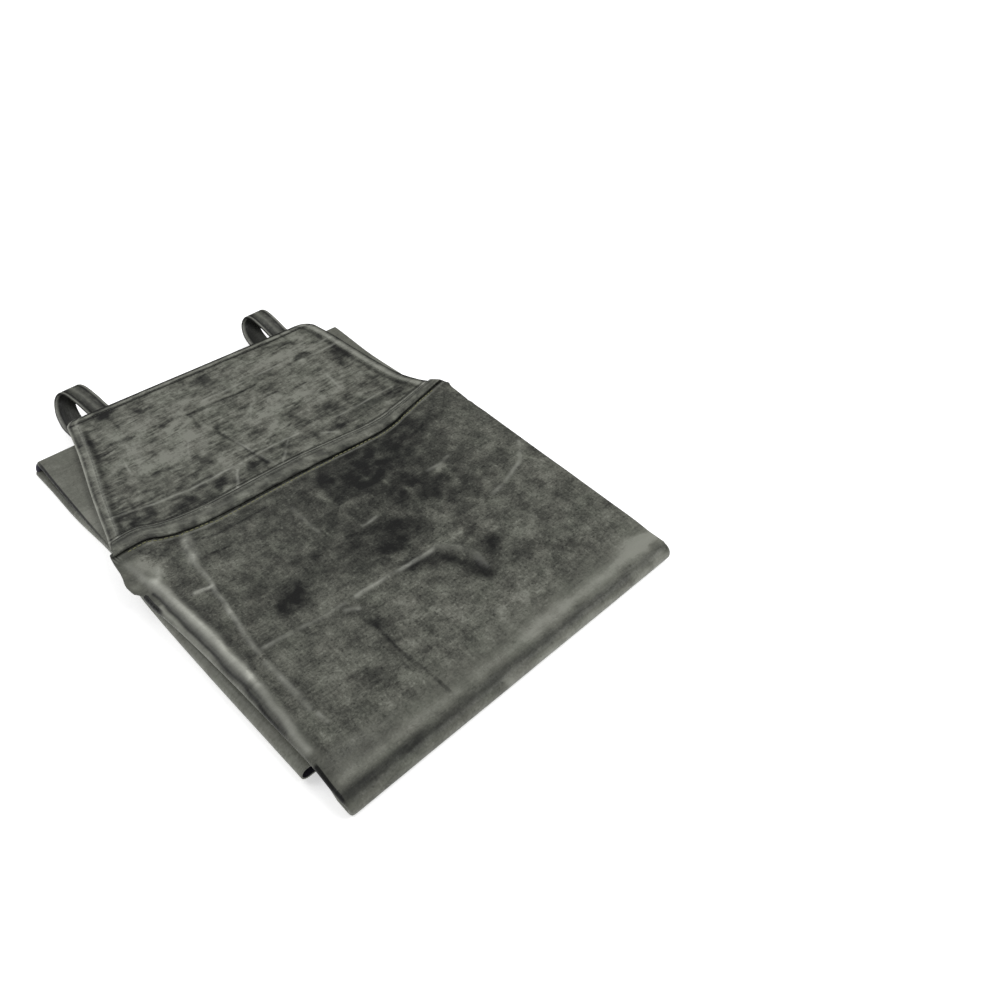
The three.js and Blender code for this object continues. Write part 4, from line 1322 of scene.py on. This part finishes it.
def above_band(distance):
    """A line on the bib, a distance above the band's upper edge."""
    points = []
    for k in range(4, bib_grid.shape[1] - 4):
        line = bib_grid[:, k]
        height = line[:, 1] - seam_y(line[:, 0]) - band_width(line[:, 0])
        row = int(np.argmin(np.abs(height - distance)))
        points.append(line[row] + np.array([0, 0, SHEET / 2 + 0.12]))
    return points


def below_band(distance):
    """A line on the skirt, a distance under the band's lower edge."""
    points = []
    for k in range(FLAP_COLUMNS + ROLL_STEPS + 3, last_panel - CREASE_STEPS - 3):
        line = skirt_grid[:len(top_lines), k]
        depth = seam_y(line[:, 0]) - line[:, 1]
        if band_left + 3 < line[0, 0] < band_right - 3:
            row = int(np.argmin(np.abs(depth - distance)))
            points.append(line[row] + np.array([0, 0, SHEET / 2 + 0.15]))
    return points


stitching = [
    sewn_line("waist_stitches_skirt", below_band(2.4), olive_thread),
    sewn_line("waist_stitches_upper", on_band(0.86), grey_thread, 0.3),
    sewn_line("waist_stitches_bib", above_band(4.4), dark_thread, 0.36),
    sewn_line("left_hem_stitches", bib_line("left", STITCH_INSET), grey_thread),
    sewn_line("right_hem_stitches", bib_line("right", STITCH_INSET), grey_thread),
    sewn_line("top_hem_stitches", bib_line("top", STITCH_INSET), dark_thread),
]

# %% [markdown]
# ## Strap loops
# Each loop is a doubled strip of coated cloth, sewn along both edges and caught under the top
# hem. It rises behind the bib, bends over and comes back beside itself. Its inner face is painted darker,
# as painted shade inside the loop.

# %% Strap loops
LOOP_ROWS = [
    {"out": -STRAP_LAP / LOOP_REACH, "rise": 0.00, "drift": 0.00},
    {"out": 0.00, "rise": 0.00, "drift": 0.00},
    {"out": 0.18, "rise": 0.10, "drift": 0.04},
    {"out": 0.48, "rise": 0.50, "drift": 0.15},
    {"out": 0.80, "rise": 0.91, "drift": 0.31},
    {"out": 0.95, "rise": 0.97, "drift": 0.46},
    {"out": 1.00, "rise": 0.74, "drift": 0.61},
    {"out": 0.93, "rise": 0.42, "drift": 0.74},
    {"out": 0.65, "rise": 0.16, "drift": 0.88},
    {"out": 0.25, "rise": 0.02, "drift": 0.97},
    {"out": 0.00, "rise": 0.00, "drift": 1.00},
    {"out": -STRAP_LAP / LOOP_REACH, "rise": 0.00, "drift": 1.00},
]
STRAP_LOOPS = [
    {"name": "left_neck_loop", "x": -0.2417, "shift": -0.0785},
    {"name": "right_neck_loop", "x": 0.3197, "shift": -0.0691},
]


def through(points, count):
    """A smooth curve through the points, evenly spaced."""
    points = np.asarray(points, float)
    ends = np.concatenate([[2 * points[0] - points[1]], points, [2 * points[-1] - points[-2]]])
    fine = []
    for i in range(1, len(ends) - 2):
        a, b, c, d = ends[i - 1:i + 3]
        for t in np.linspace(0, 1, 24, endpoint=False):
            fine.append(0.5 * (2 * b + (c - a) * t + (2 * a - 5 * b + 4 * c - d) * t**2
                               + (3 * b - a - 3 * c + d) * t**3))
    fine = np.array(fine + [points[-1]])
    run = np.concatenate([[0], np.cumsum(np.linalg.norm(np.diff(fine, axis=0), axis=1))])
    places = np.linspace(0, run[-1], count)
    return np.stack([np.interp(places, run, fine[:, i]) for i in range(3)], axis=1)


def strap_loop(loop):
    x0, shift = loop["x"] * BIB_SPAN, loop["shift"] * BIB_SPAN
    base_z = float(bib_points(0.5, np.array(1.0), HEM_DROP)[2]) - SHEET / 2 - SEAT_GAP - STRAP / 2
    edge_y = SEAM_BASE + BIB_LENGTH + BIB_TOP_SLOPE * (x0 + shift / 2)
    route = through([
        (x0 + shift * row["drift"], edge_y + LOOP_REACH * row["out"], base_z + LOOP_RISE * row["rise"])
        for row in LOOP_ROWS
    ], 110)
    half = [0.3, 0.56, 0.66, 0.76, 0.88, 0.94, 0.985, 1]
    across = np.array([-share for share in reversed(half)] + [0] + half)
    grid = route[:, None, :] + np.array([STRAP_WIDTH / 2, 0, 0]) * across[None, :, None]
    edge = np.abs(across)
    thickness = STRAP * np.sqrt(np.clip(1 - ((edge - 0.86) / 0.17).clip(0, 1) ** 2, 0.05, 1))
    thickness = thickness - 0.5 * ridge(edge, 0.66, 0.06)
    soil_and_shading = 0.46 + 0.6 * ridge(edge, 0.66, 0.1) + 0.25 * ridge(edge, 1, 0.08) + 0.2 * ridge(edge, 0.3, 0.12)
    rub_and_sheen = 0.42 * ridge(edge, 0.86, 0.07) + 0.14 * ridge(edge, 0, 0.3)
    marks = {
        "soil_and_shading": np.tile(soil_and_shading, (len(route), 1)),
        "rub_and_sheen": np.tile(rub_and_sheen, (len(route), 1)),
    }
    # The streaks of the cloth run along the strap, so the two directions change places
    along_strap = flat_places(grid)[..., ::-1]
    # The back face, the inside of the loop, is darkened as painted shade
    piece = cloth_sheet(
        loop["name"] + "_strap", grid, thickness[None, :], [strap_cloth], 1, marks, along_strap,
        painted_back_shade=0.4,
    )
    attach(piece, "root")
    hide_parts(loop["name"])
    return piece


loops = [strap_loop(loop) for loop in STRAP_LOOPS]

# %% [markdown]

# %% [markdown]
# ## Floor and light
# The apron lies on a plain white floor under two large soft lights, one from the front right
# and one from behind at the left, so its folds shade gently and their shoulders shine a little.

# %% Stage
floor_mesh = bpy.data.meshes.new("floor")
floor_mesh.from_pydata([(-4, -4, 0), (4, -4, 0), (4, 4, 0), (-4, 4, 0)], [], [(0, 1, 2, 3)])
floor = bpy.data.objects.new("floor", floor_mesh)
bpy.context.scene.collection.objects.link(floor)
paper, tree, shader = new_material("white_paper_floor")
shader.inputs["Base Color"].default_value = linear("#f4f4f4")
shader.inputs["Roughness"].default_value = 0.9
shader.inputs["Specular IOR Level"].default_value = 0.1
# The table is lit from below as well, so it stays white and casts light on the apron's sides
shader.inputs["Emission Color"].default_value = (1, 1, 1, 1)
shader.inputs["Emission Strength"].default_value = 0.45
floor_mesh.materials.append(paper)

world = bpy.data.worlds.new("studio")
bpy.context.scene.world = world
world.use_nodes = True
world.node_tree.nodes["Background"].inputs["Color"].default_value = (1, 1, 1, 1)
world.node_tree.nodes["Background"].inputs["Strength"].default_value = 0.45


def soft_light(name, direction, distance, size, power):
    lamp = bpy.data.lights.new(name, "AREA")
    lamp.shape = "SQUARE"
    lamp.size = size
    lamp.energy = power
    made = bpy.data.objects.new(name, lamp)
    towards = Vector(direction).normalized()
    made.location = towards * distance
    made.rotation_euler = towards.to_track_quat("Z", "Y").to_euler()
    bpy.context.scene.collection.objects.link(made)


soft_light("right_front_softbox", (0.45, -0.45, 0.77), 1.6, 0.9, 14.0)
soft_light("left_rear_softbox", (-0.35, 0.62, 0.72), 1.6, 0.9, 9.0)
bpy.context.scene.view_settings.view_transform = "Standard"
